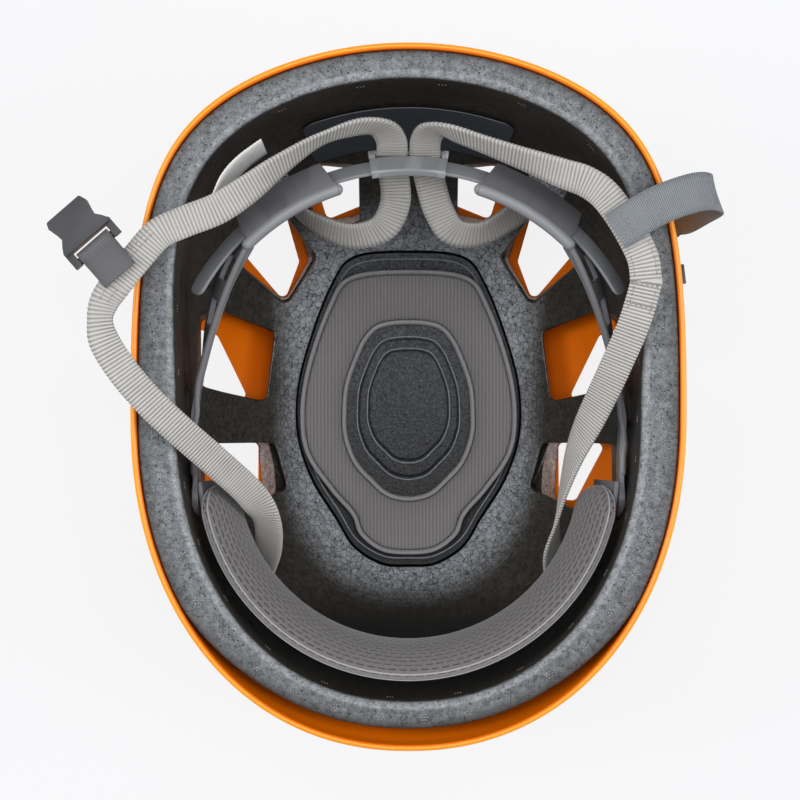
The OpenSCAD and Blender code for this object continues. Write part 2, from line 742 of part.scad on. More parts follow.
rear_left_route = concat(
    [concat(socket_spot + [6.9, -14.4, -2.5], [-0.75, 0.6, -0.15])],
    fit([
    [-106, 64, 165.5, -0.65, 0.75, -0.1],
    [-98, 73, 164, -0.5, 0.85, 0],
    [-88, 78, 162, -0.3, 0.95, 0],
    [-75, 83.5, 159, -0.35, 0.9, 0.2],
    [-62.5, 92, 156, -0.5, 0.65, 0.6],
    [-50.5, 101.5, 153, -0.4, 0.3, 0.85],
    [-35.5, 111.5, 149, -0.25, 0.1, 0.97]]),
    [[-21, nape_back + 14, nape_height + 14, 0.2, 0.4, 0.9],
    [-11, nape_back + 14.5, nape_height + 8, 0.75, 0.3, 0.6]],
    into_guide(-1));
nape_left_route = concat(
    [[-6.8, nape_back + 4.6, nape_height - 7.7, -1, 0, 0],
    [-6, nape_back - 2, nape_height - 15, -1, 0.1, 0],
    [-5.5, nape_back - 13, nape_height - 22.5, -0.9, 0.4, 0.2]],
    fit([
    [-11, 80, 102, -0.55, 0.7, 0.45],
    [-24, 77, 98.5, 0, 0.75, 0.66],
    [-38, 82, 96, -0.3, 0.7, 0.66],
    [-50, 90.5, 92, -0.5, 0.55, 0.6],
    [-57.5, 97.5, 85, -0.8, -0.5, 0.2]]));
front_right_route = fit([
    [62.5, -62.5, 74.5, -0.7, -0.5, 0.5],
    [61, -54, 83, -0.55, -0.45, 0.7],
    [62.5, -41, 92, -0.15, -0.5, 0.85],
    [65, -27, 103, 0.1, -0.6, 0.8],
    [69, -12, 116, 0.4, -0.6, 0.6],
    [76, 5, 132, 0.75, -0.55, 0.25],
    [82.5, 21, 146, 0.88, -0.42, 0],
    [89, 38, 158, 0.93, -0.33, 0],
    [93, 53, 164.5, 0.95, 0, 0]]);
rear_right_route = concat(
    fit([
    [93.1, 54.3, 165, 0.95, 0.05, 0],
    [91.5, 64, 166.5, 0.9, 0.35, 0],
    [85, 77, 165.5, 0.85, 0.5, 0],
    [77.5, 88, 162.5, 0.7, 0.7, 0.1],
    [70, 94, 159, 0.35, 0.9, 0.3],
    [61, 97.5, 156, 0.2, 0.85, 0.5],
    [47.5, 103, 152, 0.15, 0.6, 0.8],
    [32, 109, 149, 0.1, 0.4, 0.9]]),
    [[18, nape_back + 11.5, nape_height + 14, -0.15, 0.4, 0.9],
    [10, nape_back + 13.5, nape_height + 8, -0.75, 0.3, 0.6]],
    into_guide(1));
nape_right_route = concat(
    [[6.8, nape_back + 4.6, nape_height - 7.7, 1, 0, 0],
    [8.5, nape_back - 3, nape_height - 15.5, 1, 0.1, 0],
    [12.5, nape_back - 16, nape_height - 23.5, 0.9, 0.4, 0.2]],
    fit([
    [19, 78.5, 102, 0.6, 0.7, 0.45],
    [31, 78, 98.5, 0.1, 0.75, 0.66],
    [43, 85, 95.5, -0.3, 0.7, 0.66],
    [52, 92.5, 91, -0.5, 0.55, 0.6],
    [57.5, 97.5, 85, -0.8, 0.5, 0.2]]));
// Chin strap: over the rim, a fold, down outside the shell and up again round the tongue's bar
hang_angle = 38;
hang_out = [cos(hang_angle), sin(hang_angle), 0];
hang_way = [-sin(hang_angle), cos(hang_angle), 0];
hang_room = 4;
hang_reach = reach(hang_angle) + hang_room;
bar_height = 66;
tail_height = bar_height + 24;
wrap = bar_radius + buckle_gap + web_thick / 2;
function hang(out, z) = concat(hang_out * (hang_reach + out) + [0, 0, z], hang_way);
chin_route = concat(
    fit([[80.5, 73.5, 168.5, -0.45, 0.85, 0],
    [96, 83, 170, -0.35, 0.92, 0],
    [110.5, 88.5, 168, -0.3, 0.95, 0],
    [118.5, 89.5, 164, -0.3, 0.95, 0],
    [121, 88, 158, -0.32, 0.94, 0],
    [116.5, 85.5, 147, -0.42, 0.88, 0],
    [110.5, 82.5, 131, -0.55, 0.8, 0]]),
    [for (up = [46, 29, 12, 4]) hang(-wrap, bar_height + up)],
    [for (a = [180 : 30 : 360]) hang(wrap * cos(a), bar_height + wrap * sin(a))],
    [for (up = [4, 12, tail_height - bar_height]) hang(wrap, bar_height + up)]);

module strap(route) {
    color("lightgray")
        webbing(route, strap_width, web_thick);
}
module strap_front_left() {
    strap(front_left_route);
}
module strap_front_right() {
    strap(front_right_route);
}
module strap_rear_left() {
    strap(rear_left_route);
}
module strap_rear_right() {
    strap(rear_right_route);
}
module strap_nape_left() {
    strap(nape_left_route);
}
module strap_nape_right() {
    strap(nape_right_route);
}
module chin_strap_right() {
    color("lightgray")
        webbing(chin_route, chin_width, web_thick, 3);
}

// Left chin loop and socket buckle: x along the buckle from its bar, y across, z its thickness
socket_turn = 131;
loop_length = 14;
module at_socket() {
    translate(socket_spot)
        rotate([0, 0, socket_turn])
            children();
}
eye = bar_radius + buckle_gap;
module chin_loop_left() {
    color("gray")
        at_socket()
            rotate([90, 0, 0])
                linear_extrude(chin_width, center = true)
                    difference() {
                        union() {
                            circle(r = eye + web_thick);
                            translate([-loop_length, -web_thick - 0.2])
                                square([loop_length, 2 * web_thick + 0.4]);
                        }
                        circle(r = eye);
                    }
}
bar_gap = 2.5;
ear = (buckle_width - chin_width) / 2 - buckle_gap - 0.4;
body_start = eye + web_thick + bar_gap - 1.2;
// Outline of the socket: broad at the bar, a waist to grip, lobes at the mouth
module socket_outline() {
    waist = mouth_width / 2 + 1;
    lobe = mouth_width / 2 + 2.3;
    half = [[socket_length, lobe - 1], [socket_length - 2.5, lobe], [socket_length * 0.66, waist + 0.3],
        [socket_length * 0.54, waist], [body_start + 3.5, buckle_width / 2 - 1.5],
        [body_start + 1, buckle_width / 2], [body_start, buckle_width / 2 - 0.5]];
    offset(r = 1)
        offset(delta = -1)
            polygon(concat(half, [for (k = [len(half) - 1 : -1 : 0]) [half[k][0], -half[k][1]]]));
}
module socket_buckle() {
    color("darkslategray")
        at_socket() {
            difference() {
                translate([0, 0, -socket_thick / 2])
                    linear_extrude(socket_thick)
                        socket_outline();
                translate([body_start + 2, -mouth_width / 2, -mouth_height / 2])
                    cube([socket_length, mouth_width, mouth_height]);
                for (side = [-1, 1]) {
                    translate([socket_length * 0.62, side * mouth_width / 2, 0])
                        cube([6, mouth_width / 2, mouth_height - 1.4], center = true);
                }
            }
            for (side = [-1, 1]) {
                translate([-bar_radius, side * (buckle_width / 2 - ear / 2) - ear / 2, -bar_radius])
                    cube([body_start + 2 * bar_radius, ear, 2 * bar_radius]);
            }
            rotate([90, 0, 0])
                cylinder(h = buckle_width - ear, r = bar_radius, center = true);
        }
}

// Tongue half hanging on the right: x out from the shell, y along the width, z up
module at_tongue() {
    rotate([0, 0, hang_angle])
        translate([hang_reach, 0, bar_height])
            children();
}
tongue_body = 9;
tongue_root = -eye - web_thick - 0.8;
prong_wide = 3.2;
prong_slot = prong_wide + 2 * buckle_gap + 0.5;
prong_pivot = mouth_width / 2 - prong_wide / 2 - 0.2;
module tongue_buckle() {
    color("darkslategray")
        at_tongue() {
            translate([-tongue_thick / 2, -buckle_width / 2, tongue_root - tongue_body])
                difference() {
                    cube([tongue_thick, buckle_width, tongue_body]);
                    for (side = [-1, 1]) {
                        translate([-1, buckle_width / 2 + side * prong_pivot - prong_slot / 2, -1])
                            cube([tongue_thick + 2, prong_slot, 4]);
                        translate([-1, buckle_width / 2 + side * prong_pivot, 3])
                            rotate([0, 90, 0])
                                cylinder(h = tongue_thick + 2, r = prong_slot / 2);
                    }
                }
            for (side = [-1, 1]) {
                translate([-bar_radius, side * (buckle_width / 2 - ear / 2) - ear / 2, tongue_root - 1])
                    cube([2 * bar_radius, ear, -tongue_root + 1 + bar_radius]);
            }
            rotate([90, 0, 0])
                cylinder(h = buckle_width - ear, r = bar_radius, center = true);
            translate([-0.9, -1.5, tongue_root - tongue_body - prong_length + 2])
                cube([1.8, 3, prong_length]);
        }
}
module tongue_prong(side) {
    color("darkslategray")
        at_tongue()
            translate([0, side * prong_pivot, tongue_root - tongue_body + 3]) {
                rotate([0, 90, 0])
                    cylinder(h = tongue_thick, r = prong_wide / 2, center = true);
                translate([-tongue_thick / 2, -prong_wide / 2, -prong_length])
                    cube([tongue_thick, prong_wide, prong_length]);
                translate([-tongue_thick / 2, side > 0 ? 0 : -prong_wide / 2 - 1.2, -prong_length + 1])
                    cube([tongue_thick, prong_wide / 2 + 1.2, 6]);
            }
}
module tongue_prong_front() {
    tongue_prong(-1);
}
module tongue_prong_rear() {
    tongue_prong(1);
}
keeper_height = bar_height + 17;
keeper_tall = 5;
keeper_wall = 1.2;
module strap_keeper() {
    hole = [2 * wrap + web_thick + 2 * buckle_gap, chin_width + 2 * buckle_gap, 2 * keeper_tall];
    color("darkslategray")
        at_tongue()
            translate([0, 0, keeper_height - bar_height])
                difference() {
                    cube([hole[0] + 2 * keeper_wall, hole[1] + 2 * keeper_wall, keeper_tall], center = true);
                    cube(hole, center = true);
                }
}

// Lamp clips: x out from the shell, z up the wall
module lamp_clip(a) {
    color("black")
        at_clip(a) {
            translate([clip_stand, -clip_width / 2, -clip_length / 2 - clip_drop])
                cube([clip_wall, clip_width, clip_length]);
            translate([clip_stand, -clip_width / 2, clip_length / 2 - clip_wall - clip_drop])
                cube([2 * clip_wall + clip_gap, clip_width, clip_wall]);
            translate([clip_stand + clip_wall + clip_gap, -clip_width / 2, -clip_length / 2 - clip_drop])
                cube([clip_wall, clip_width, clip_length]);
            translate([-shell_wall + 0.4, 0, 0])
                rotate([0, 90, 0])
                    cylinder(h = shell_wall + clip_stand, r = stud_radius);
        }
}
module lamp_clip_front_left() {
    lamp_clip(180 - clip_front_angle);
}
module lamp_clip_front_right() {
    lamp_clip(clip_front_angle);
}
module lamp_clip_rear_left() {
    lamp_clip(180 - clip_rear_angle);
}
module lamp_clip_rear_right() {
    lamp_clip(clip_rear_angle);
}

// Bare label on the rear inner wall and the tag on the left rear strap
label_stand = 0.6;
label_half_angle = 20;
label_foot = upward(78);
label_head = upward(108);
module rear_label() {
    face = function (a, z, out)
        let (r = inner_wall(a, z) - out)
        [r * cos(a), r * sin(a), z];
    angles = [for (k = [0 : 16]) 90 - label_half_angle + 2 * label_half_angle * k / 16];
    heights = [for (k = [0 : 4]) label_foot + (label_head - label_foot) * k / 4];
    color("slategray")
        skin([for (a = angles) concat(
            [for (z = heights) face(a, z, label_stand + label_thick)],
            [for (k = [len(heights) - 1 : -1 : 0]) face(a, heights[k], label_stand)])]);
}
tag_route = fit([
    [-75.5, 87.5, 152.6, -0.25, 0.2, 0.95],
    [-72, 95.5, 151.5, -0.25, 0.2, 0.95],
    [-66, 102.5, 150.5, -0.25, 0.2, 0.95],
    [-57.5, 109, 149.5, -0.25, 0.2, 0.95]]);
module strap_tag() {
    color("white")
        webbing(tag_route, 14, 0.5);
}

union() {
    outer_shell();
}
union() {
    foam_liner();
}
union() {
    crown_insert();
}
union() {
    crown_pad();
}
union() {
    crown_pad_hooks();
}
union() {
    front_band();
}
union() {
    forehead_pad();
}
union() {
    forehead_hook_strip();
}
union() {
    pivot_pin_left();
}
union() {
    pivot_pin_right();
}
union() {
    arm_left();
}
union() {
    arm_right();
}
union() {
    nape_band();
}
union() {
    nape_guide();
}
union() {
    slider_left();
}
union() {
    slider_right();
}
union() {
    anchor_front_left();
}
union() {
    anchor_front_right();
}
union() {
    anchor_rear_left();
}
union() {
    anchor_rear_right();
}
union() {
    strap_front_left();
}
union() {
    strap_front_right();
}
union() {
    strap_rear_left();
}
union() {
    strap_rear_right();
}
union() {
    strap_nape_left();
}
union() {
    strap_nape_right();
}
union() {
    chin_loop_left();
}
union() {
    chin_strap_right();
}
union() {
    socket_buckle();
}
union() {
    tongue_buckle();
}
union() {
    tongue_prong_front();
}
union() {
    tongue_prong_rear();
}
union() {
    strap_keeper();
}
union() {
    lamp_clip_front_left();
}
union() {
    lamp_clip_front_right();
}
union() {
    lamp_clip_rear_left();
}
union() {
    lamp_clip_rear_right();
}
union() {
    rear_label();
}
union() {
    strap_tag();
}
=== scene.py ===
import math
import bmesh
import bpy
import numpy as np
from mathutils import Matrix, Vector


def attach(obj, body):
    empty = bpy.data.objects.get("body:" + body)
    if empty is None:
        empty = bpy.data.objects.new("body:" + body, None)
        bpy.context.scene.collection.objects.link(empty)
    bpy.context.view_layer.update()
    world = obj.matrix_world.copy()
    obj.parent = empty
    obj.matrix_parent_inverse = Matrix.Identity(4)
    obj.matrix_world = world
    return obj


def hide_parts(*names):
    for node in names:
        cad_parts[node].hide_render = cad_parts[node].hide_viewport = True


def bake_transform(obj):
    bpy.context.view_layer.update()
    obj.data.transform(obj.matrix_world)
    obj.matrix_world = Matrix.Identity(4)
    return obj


# Helmet standing on its crown: points are worked out in millimetres, meshes are made in metres
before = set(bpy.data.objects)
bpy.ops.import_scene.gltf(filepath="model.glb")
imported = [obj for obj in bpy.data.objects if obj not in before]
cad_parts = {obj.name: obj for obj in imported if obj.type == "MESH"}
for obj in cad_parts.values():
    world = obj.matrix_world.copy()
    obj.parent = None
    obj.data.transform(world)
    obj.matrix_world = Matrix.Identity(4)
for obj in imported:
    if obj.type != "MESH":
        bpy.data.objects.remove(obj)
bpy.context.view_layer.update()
scene = bpy.context.scene
mm = 0.001
print("frame loaded,", len(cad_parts), "solids")


def camel(node):
    first, *others = node.split("_")
    return first + "".join(word.title() for word in others)


def tint(text):
    parts = [int(text[k:k + 2], 16) / 255 for k in (1, 3, 5)]
    return tuple(c / 12.92 if c <= 0.04045 else ((c + 0.055) / 1.055) ** 2.4 for c in parts) + (1.0,)


def put(tree, kind, settings=None):
    node = tree.nodes.new(kind)
    for key, value in (settings or {}).items():
        if isinstance(value, bpy.types.NodeSocket):
            tree.links.new(value, node.inputs[key])
        elif isinstance(key, str) and hasattr(node, key):
            setattr(node, key, value)
        else:
            node.inputs[key].default_value = value
    return node


def calc(tree, operation, *terms, clamp=False):
    settings = {"operation": operation, "use_clamp": clamp, **dict(enumerate(terms))}
    return put(tree, "ShaderNodeMath", settings).outputs[0]


def spread(tree, value, low, high, toLow=0, toHigh=1, smooth=False):
    return put(tree, "ShaderNodeMapRange", {
        "interpolation_type": "SMOOTHSTEP" if smooth else "LINEAR", "Value": value,
        "From Min": low, "From Max": high, "To Min": toLow, "To Max": toHigh}).outputs[0]


def toned(tree, share, *colours):
    first, second = (tint(c) if isinstance(c, str) else c for c in colours)
    return put(tree, "ShaderNodeMix", {"data_type": "RGBA", 0: share, 6: first, 7: second}).outputs[2]


def noise(tree, where, size, detail, roughness=0.5):
    return put(tree, "ShaderNodeTexNoise", {
        "Vector": where, "Scale": 1 / (size * mm), "Detail": detail, "Roughness": roughness}).outputs["Fac"]


def bands(tree, where, direction, pitch, settings=None):
    return put(tree, "ShaderNodeTexWave", {
        "Vector": where, "bands_direction": direction, "Scale": 2 * math.pi / (20 * pitch * mm),
        **(settings or {})}).outputs["Fac"]


def inPlace(tree):
    return put(tree, "ShaderNodeTexCoord").outputs["Object"]


def laidFlat(tree):
    return put(tree, "ShaderNodeUVMap", {"uv_map": "cloth"}).outputs[0]


def feed(tree, shader, socket, source):
    tree.links.new(source, shader.inputs[socket])


def emboss(tree, shader, height, strength, depth):
    relief = put(tree, "ShaderNodeBump", {"Strength": strength, "Distance": depth * mm, "Height": height})
    feed(tree, shader, "Normal", relief.outputs[0])


def newFinish(name, colour, roughness, others=None):
    finish = bpy.data.materials.new(name)
    finish.use_nodes = True
    tree = finish.node_tree
    tree.nodes.clear()
    settings = {"Base Color": tint(colour), "Roughness": roughness, **(others or {})}
    shader = put(tree, "ShaderNodeBsdfPrincipled", settings)
    put(tree, "ShaderNodeOutputMaterial", {"Surface": shader.outputs["BSDF"]})
    return finish, tree, shader


def speckled(name, size, detail, tones, relief, *settings):
    finish, tree, shader = newFinish(name, *settings)
    grain = noise(tree, inPlace(tree), size, detail)
    feed(tree, shader, "Base Color", toned(tree, grain, *tones))
    if relief:
        emboss(tree, shader, grain, *relief)
    return finish


def makePiece(name, points, faces, uv=None):
    mesh = bpy.data.meshes.new(name)
    mesh.from_pydata((np.asarray(points, float).reshape(-1, 3) * mm).tolist(), [], faces)
    if uv is not None:
        flat = np.asarray(uv, float).reshape(-1, 2) * mm
        layer = mesh.uv_layers.new(name="cloth")
        corners = np.zeros(len(mesh.loops), np.int32)
        mesh.loops.foreach_get("vertex_index", corners)
        layer.data.foreach_set("uv", flat[corners].ravel())
    mesh.polygons.foreach_set("use_smooth", [True] * len(mesh.polygons))
    piece = bpy.data.objects.new(name, mesh)
    scene.collection.objects.link(piece)
    return piece


def gridFaces(rows, cols, ringed=False, looped=False, start=0):
    faces = []
    for i in range(rows if looped else rows - 1):
        for j in range(cols if ringed else cols - 1):
            a, b = start + i * cols + j, start + i * cols + (j + 1) % cols
            c, d = start + (i + 1) % rows * cols + (j + 1) % cols, start + (i + 1) % rows * cols + j
            faces.append((a, b, c, d))
    return faces


def loft(rings, looped=False, start=0):
    rings = np.asarray(rings, float)
    rows, cols = rings.shape[:2]
    faces = gridFaces(rows, cols, True, looped, start)
    if not looped:
        faces.append(tuple(start + j for j in range(cols))[::-1])
        faces.append(tuple(start + (rows - 1) * cols + j for j in range(cols)))
    return rings.reshape(-1, 3), faces


def manyLofts(name, stacks):
    points, faces, count = [], [], 0
    for rings in stacks:
        some, others = loft(rings, start=count)
        points.append(some)
        faces += others
        count += len(some)
    return makePiece(name, np.concatenate(points), faces)


def outward(piece):
    net = bmesh.new()
    net.from_mesh(piece.data)
    bmesh.ops.remove_doubles(net, verts=net.verts, dist=1e-7)
    bmesh.ops.recalc_face_normals(net, faces=net.faces)
    net.to_mesh(piece.data)
    net.free()
    return piece


def settle(piece):
    made = bpy.data.meshes.new_from_object(piece.evaluated_get(bpy.context.evaluated_depsgraph_get()))
    old = piece.data
    piece.modifiers.clear()
    piece.data = made
    made.name = old.name
    bpy.data.meshes.remove(old)
    return piece


def carve(piece, *cutters):
    for cutter in cutters:
        cut = piece.modifiers.new("cut", "BOOLEAN")
        cut.operation = "DIFFERENCE"
        cut.solver = "MANIFOLD"
        cut.object = outward(cutter)
    settle(piece)
    for cutter in cutters:
        bpy.data.objects.remove(cutter)
    return piece


def soften(piece, degrees):
    piece.data.set_sharp_from_angle(angle=math.radians(degrees))
    return piece


# A piece rides one body; one given two bodies with a start and an end point is fixed in place as it stands
def dress(piece, finish, ride, slot, *nodes):
    piece.data.materials.clear()
    piece.data.materials.append(finish)
    if isinstance(ride, str):
        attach(piece, ride)
    else:
        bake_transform(piece)
    if nodes:
        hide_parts(*nodes)
    return piece


# The rim's outline from above and the dome's side profile, as in the part's source
helmet = {"side": 112.8, "rear": 149.5, "front": 133.2, "rearCorner": 7.4, "browCorner": 2.15,
          "rim": 148, "rake": 8, "wall": 2.5, "flare": 6, "fullness": 2.2, "crownFlat": 0.06}
lining = {"skin": 2.8, "side": 18.3, "rear": 14, "front": 20, "crown": 24.5, "fullness": 2.35, "drop": 1.5}


def ease(v):
    u = np.clip(v, 0, 1)
    return u * u * (3 - 2 * u)


def rearReach(a):
    p = helmet["rearCorner"]
    return ((np.abs(np.cos(a)) / helmet["side"]) ** p + (1 / helmet["rear"]) ** p) ** (-1 / p)


def reach(a):
    p = helmet["browCorner"]
    brow = ((np.abs(np.cos(a)) / rearReach(0)) ** p + (np.abs(np.sin(a)) / helmet["front"]) ** p) ** (-1 / p)
    return np.where(np.sin(a) >= 0, rearReach(a), brow)


def rimHeight(a):
    return helmet["rim"] + helmet["rake"] * np.sin(a)


def flare(a):
    return helmet["flare"] * ease(-2.5 * np.sin(a) - 1.5)


def outShare(t, full):
    return np.sin(np.pi / 2 * t) ** (2 / full)


def flatShare(full):
    return math.cos(math.pi / 2 * helmet["crownFlat"]) ** (2 / full)


def upShare(t, full):
    return (flatShare(full) - np.maximum(0, np.cos(np.pi / 2 * t)) ** (2 / full)) / flatShare(full)


def liningInset(a):
    s = np.sin(a)
    return lining["side"] + np.where(s >= 0, lining["rear"] - lining["side"],
                                     lining["front"] - lining["side"]) * s * s


def heightOver(x, y, inset, base, drop, full):
    a = np.arctan2(y, x)
    s = np.clip(np.hypot(x, y) / (reach(a) - inset), 0, 1)
    rise = (flatShare(full) - (1 - s ** full) ** (1 / full)) / flatShare(full)
    return base + (rimHeight(a) - drop - base) * np.maximum(0, rise)


def innerHeight(x, y):
    return heightOver(x, y, liningInset(np.arctan2(y, x)), lining["crown"], lining["drop"],
                      lining["fullness"])


def innerWall(a, z):
    full = lining["fullness"]
    c = flatShare(full) * (1 - (z - lining["crown"]) / (rimHeight(a) - lining["drop"] - lining["crown"]))
    return (reach(a) - liningInset(a)) * (1 - np.maximum(0, c) ** full) ** (1 / full)


def outerHeight(x, y):
    return heightOver(x, y, flare(np.arctan2(y, x)), 0, 0, helmet["fullness"])


def runAlong(line):
    return np.concatenate([[0], np.cumsum(np.linalg.norm(np.diff(line, axis=0), axis=1))])


def unit(ways):
    return ways / np.linalg.norm(ways, axis=-1, keepdims=True)


def fullTurn(count):
    return np.linspace(0, 2 * np.pi, count, endpoint=False)


def ring(a, r, z):
    return np.stack([r * np.cos(a), r * np.sin(a), np.broadcast_to(z, a.shape)], -1)


def spline(points, per, closed):
    p = np.asarray(points, float)
    n = len(p)
    spans = n if closed else n - 1
    k = np.arange(spans)
    pick = (lambda i: p[i % n]) if closed else (lambda i: p[np.clip(i, 0, n - 1)])
    a, b, c, d = pick(k - 1), pick(k), pick(k + 1), pick(k + 2)
    u = (np.arange(per) / per)[None, :, None]
    a, b, c, d = a[:, None], b[:, None], c[:, None], d[:, None]
    made = (2 * b + (c - a) * u + (2 * a - 5 * b + 4 * c - d) * u * u + (3 * b - a - 3 * c + d) * u ** 3) / 2
    made = made.reshape(-1, p.shape[1])
    return made if closed else np.concatenate([made, p[-1:]])


def mirrorX(points):
    return [(-p[0], p[1]) for p in points][::-1]


def roundedOutline(corners, radius, step=1.5, bends=6):
    hull = []
    for half in (sorted(map(tuple, corners)), sorted(map(tuple, corners))[::-1]):
        part = []
        for p in half:
            while len(part) > 1 and ((part[-1][0] - part[-2][0]) * (p[1] - part[-2][1])
                                     - (part[-1][1] - part[-2][1]) * (p[0] - part[-2][0])) <= 0:
                part.pop()
            part.append(p)
        hull += part[:-1]
    hull = np.array(hull)
    n = len(hull)
    spots, normals = [], []
    for k in range(n):
        before, here, after = hull[k - 1], hull[k], hull[(k + 1) % n]
        start = math.atan2(*(here - before)[::-1]) - math.pi / 2
        turn = (math.atan2(*(after - here)[::-1]) - math.pi / 2 - start) % (2 * math.pi)
        for i in range(bends + 1):
            way = np.array([math.cos(start + turn * i / bends), math.sin(start + turn * i / bends)])
            spots.append(here + way * radius)
            normals.append(way)
        length = np.linalg.norm(after - here)
        for i in range(1, int(length / step)):
            spots.append(here + (after - here) * i * step / length + way * radius)
            normals.append(way)
    return np.array(spots), np.array(normals)


# A fillet stops a little short of lying level with the surface, so that its cutter leaves no sliver
filletSweep = math.pi / 2 * 0.94


def filletRows(spots, normals, surface, radius, into, steps=6):
    rows = []
    for k in range(steps + 1):
        turn = filletSweep * k / steps
        p = spots + normals * radius * (1 - math.cos(turn))
        rows.append(np.column_stack([p, surface(p[:, 0], p[:, 1]) + into * radius * (1 - math.sin(turn))]))
    p = spots + normals * (radius + 1)
    rows.append(np.column_stack([p, surface(p[:, 0], p[:, 1]) - into * 2]))
    return rows


# Camera straight over the opening, as in the photograph: 1 m above the rim, 319 mm across the frame
viewpoint = {"height": 1.148, "field": 0.3189, "sensor": 36, "shiftX": -0.0106, "shiftY": 0.025,
             "lampsAimAt": (0, 0, 0.1)}
lens = bpy.data.cameras.new("overhead")
lens.sensor_width = viewpoint["sensor"]
lens.lens = viewpoint["sensor"] / viewpoint["field"]
lens.shift_x, lens.shift_y = viewpoint["shiftX"], viewpoint["shiftY"]
camera = bpy.data.objects.new("overhead", lens)
camera.location = (0, 0, viewpoint["height"])
scene.collection.objects.link(camera)
scene.camera = camera
scene.view_settings.view_transform = "Standard"

# Two long soft boxes over the sides and a wide one overhead; power in watts
softBoxes = {
    "overheadBox": {"at": (0.05, 0.25, 1.9), "size": (1.2, 1.2), "power": 15},
    "leftBox": {"at": (-1.25, 0.15, 1.05), "size": (0.5, 1.6), "power": 13},
    "rightBox": {"at": (1.25, -0.1, 1.05), "size": (0.5, 1.6), "power": 12},
}
for boxName, box in softBoxes.items():
    light = bpy.data.lights.new(boxName, "AREA")
    light.shape = "RECTANGLE"
    light.size, light.size_y = box["size"]
    light.energy = box["power"]
    lamp = bpy.data.objects.new(boxName, light)
    lamp.location = box["at"]
    aim = Vector(viewpoint["lampsAimAt"]) - lamp.location
    lamp.rotation_euler = aim.to_track_quat("-Z", "Y").to_euler()
    scene.collection.objects.link(lamp)

# The room is white to the eye and a plain grey fill to the surfaces
room = bpy.data.worlds.new("studio")
scene.world = room
room.use_nodes = True
tree = room.node_tree
tree.nodes.clear()
path = put(tree, "ShaderNodeLightPath")
seen = calc(tree, "MAXIMUM", path.outputs["Is Camera Ray"], path.outputs["Is Transmission Ray"])
fill = put(tree, "ShaderNodeBackground", {"Color": tint("#ffffff"), "Strength": 0.30})
white = put(tree, "ShaderNodeBackground", {"Color": tint("#f8f9fb"), "Strength": 1.0})
either = put(tree, "ShaderNodeMixShader", {0: seen, 1: fill.outputs[0], 2: white.outputs[0]})
put(tree, "ShaderNodeOutputWorld", {"Surface": either.outputs[0]})

# Pale floor: near white to the camera, keeps a faint shadow
far = 6000
floor = makePiece("studioFloor", [(-far, -far, 0), (far, -far, 0), (far, far, 0), (-far, far, 0)],
                  [(0, 1, 2, 3)])
floorFinish, tree, shader = newFinish("matt painted studio floor", "#e9eaec", 0.9)
path = put(tree, "ShaderNodeLightPath")
grain = noise(tree, inPlace(tree), 25, 3.0)
feed(tree, shader, "Roughness", spread(tree, grain, 0, 1, 0.88, 0.94))
glow = put(tree, "ShaderNodeEmission", {"Color": tint("#f8f9fb"), "Strength": 1.0})
share = calc(tree, "MULTIPLY", path.outputs["Is Camera Ray"], 0.86)
both = put(tree, "ShaderNodeMixShader", {0: share, 1: shader.outputs[0], 2: glow.outputs[0]})
out = [n for n in tree.nodes if n.type == "OUTPUT_MATERIAL"][0]
feed(tree, out, "Surface", both.outputs[0])
floor.data.materials.append(floorFinish)
print("camera, light and floor set")


# Injection-moulded ABS: a faint orange-peel wave, clear highlights, and painted shade on its inner face,
# which gets a deeper, redder orange
absOrange, tree, shader = newFinish("injection moulded ABS, orange", "#f59208", 0.34,
                                    {"IOR": 1.53, "Coat Weight": 0.06, "Coat Roughness": 0.2})
place = inPlace(tree)
flow = put(tree, "ShaderNodeTexNoise", {"Scale": 18.0, "Detail": 3.0, "Vector": place})
shade = toned(tree, flow.outputs["Fac"], "#fc9400", "#ffa508")
outwards = put(tree, "ShaderNodeVectorMath", {"operation": "SUBTRACT", 1: (0, 0, 0.14), 0: place})
facing = put(tree, "ShaderNodeVectorMath", {"operation": "DOT_PRODUCT", 0: outwards.outputs[0],
                                            1: put(tree, "ShaderNodeNewGeometry").outputs["True Normal"]})
# Painted shade: faces that look inwards take the deeper orange, outer faces keep the plain orange
outer = spread(tree, facing.outputs["Value"], -0.07, -0.04)
feed(tree, shader, "Base Color", toned(tree, outer, "#ff7a00", shade))
peel = noise(tree, place, 1.6, 2.0)
feed(tree, shader, "Roughness", spread(tree, peel, 0, 1, 0.29, 0.38))
emboss(tree, shader, peel, 0.06, 0.3)

shellPiece = {
    "around": 300, "levels": 78, "lip": 1.25, "flareFrom": 0.9, "ventCorner": 2.5, "ventFillet": 1.1,
    "vents": [
        [(22, 97.5), (34.5, 92.5), (37, 101), (37, 110), (23, 112)],
        [(56, 88), (51.5, 71), (56.5, 58), (70, 74), (66, 87)],
        [(85.5, 35), (75, 11.5), (88, 12), (92, 37)],
        [(69.5, -12.5), (82.5, -12.5), (72.5, -33), (69.5, -33)]]}
roundAngles = fullTurn(shellPiece["around"])
a = roundAngles
lip, full = shellPiece["lip"], helmet["fullness"]
levels = np.linspace(helmet["crownFlat"], 1, shellPiece["levels"])
brim = rimHeight(a) - lip


def shellRow(t, inset):
    drawnIn = flare(a) * (1 - ease((t - shellPiece["flareFrom"]) / (1 - shellPiece["flareFrom"])))
    return ring(a, (reach(a) - inset - drawnIn) * outShare(t, full),
                inset + (brim - inset) * upShare(t, full))


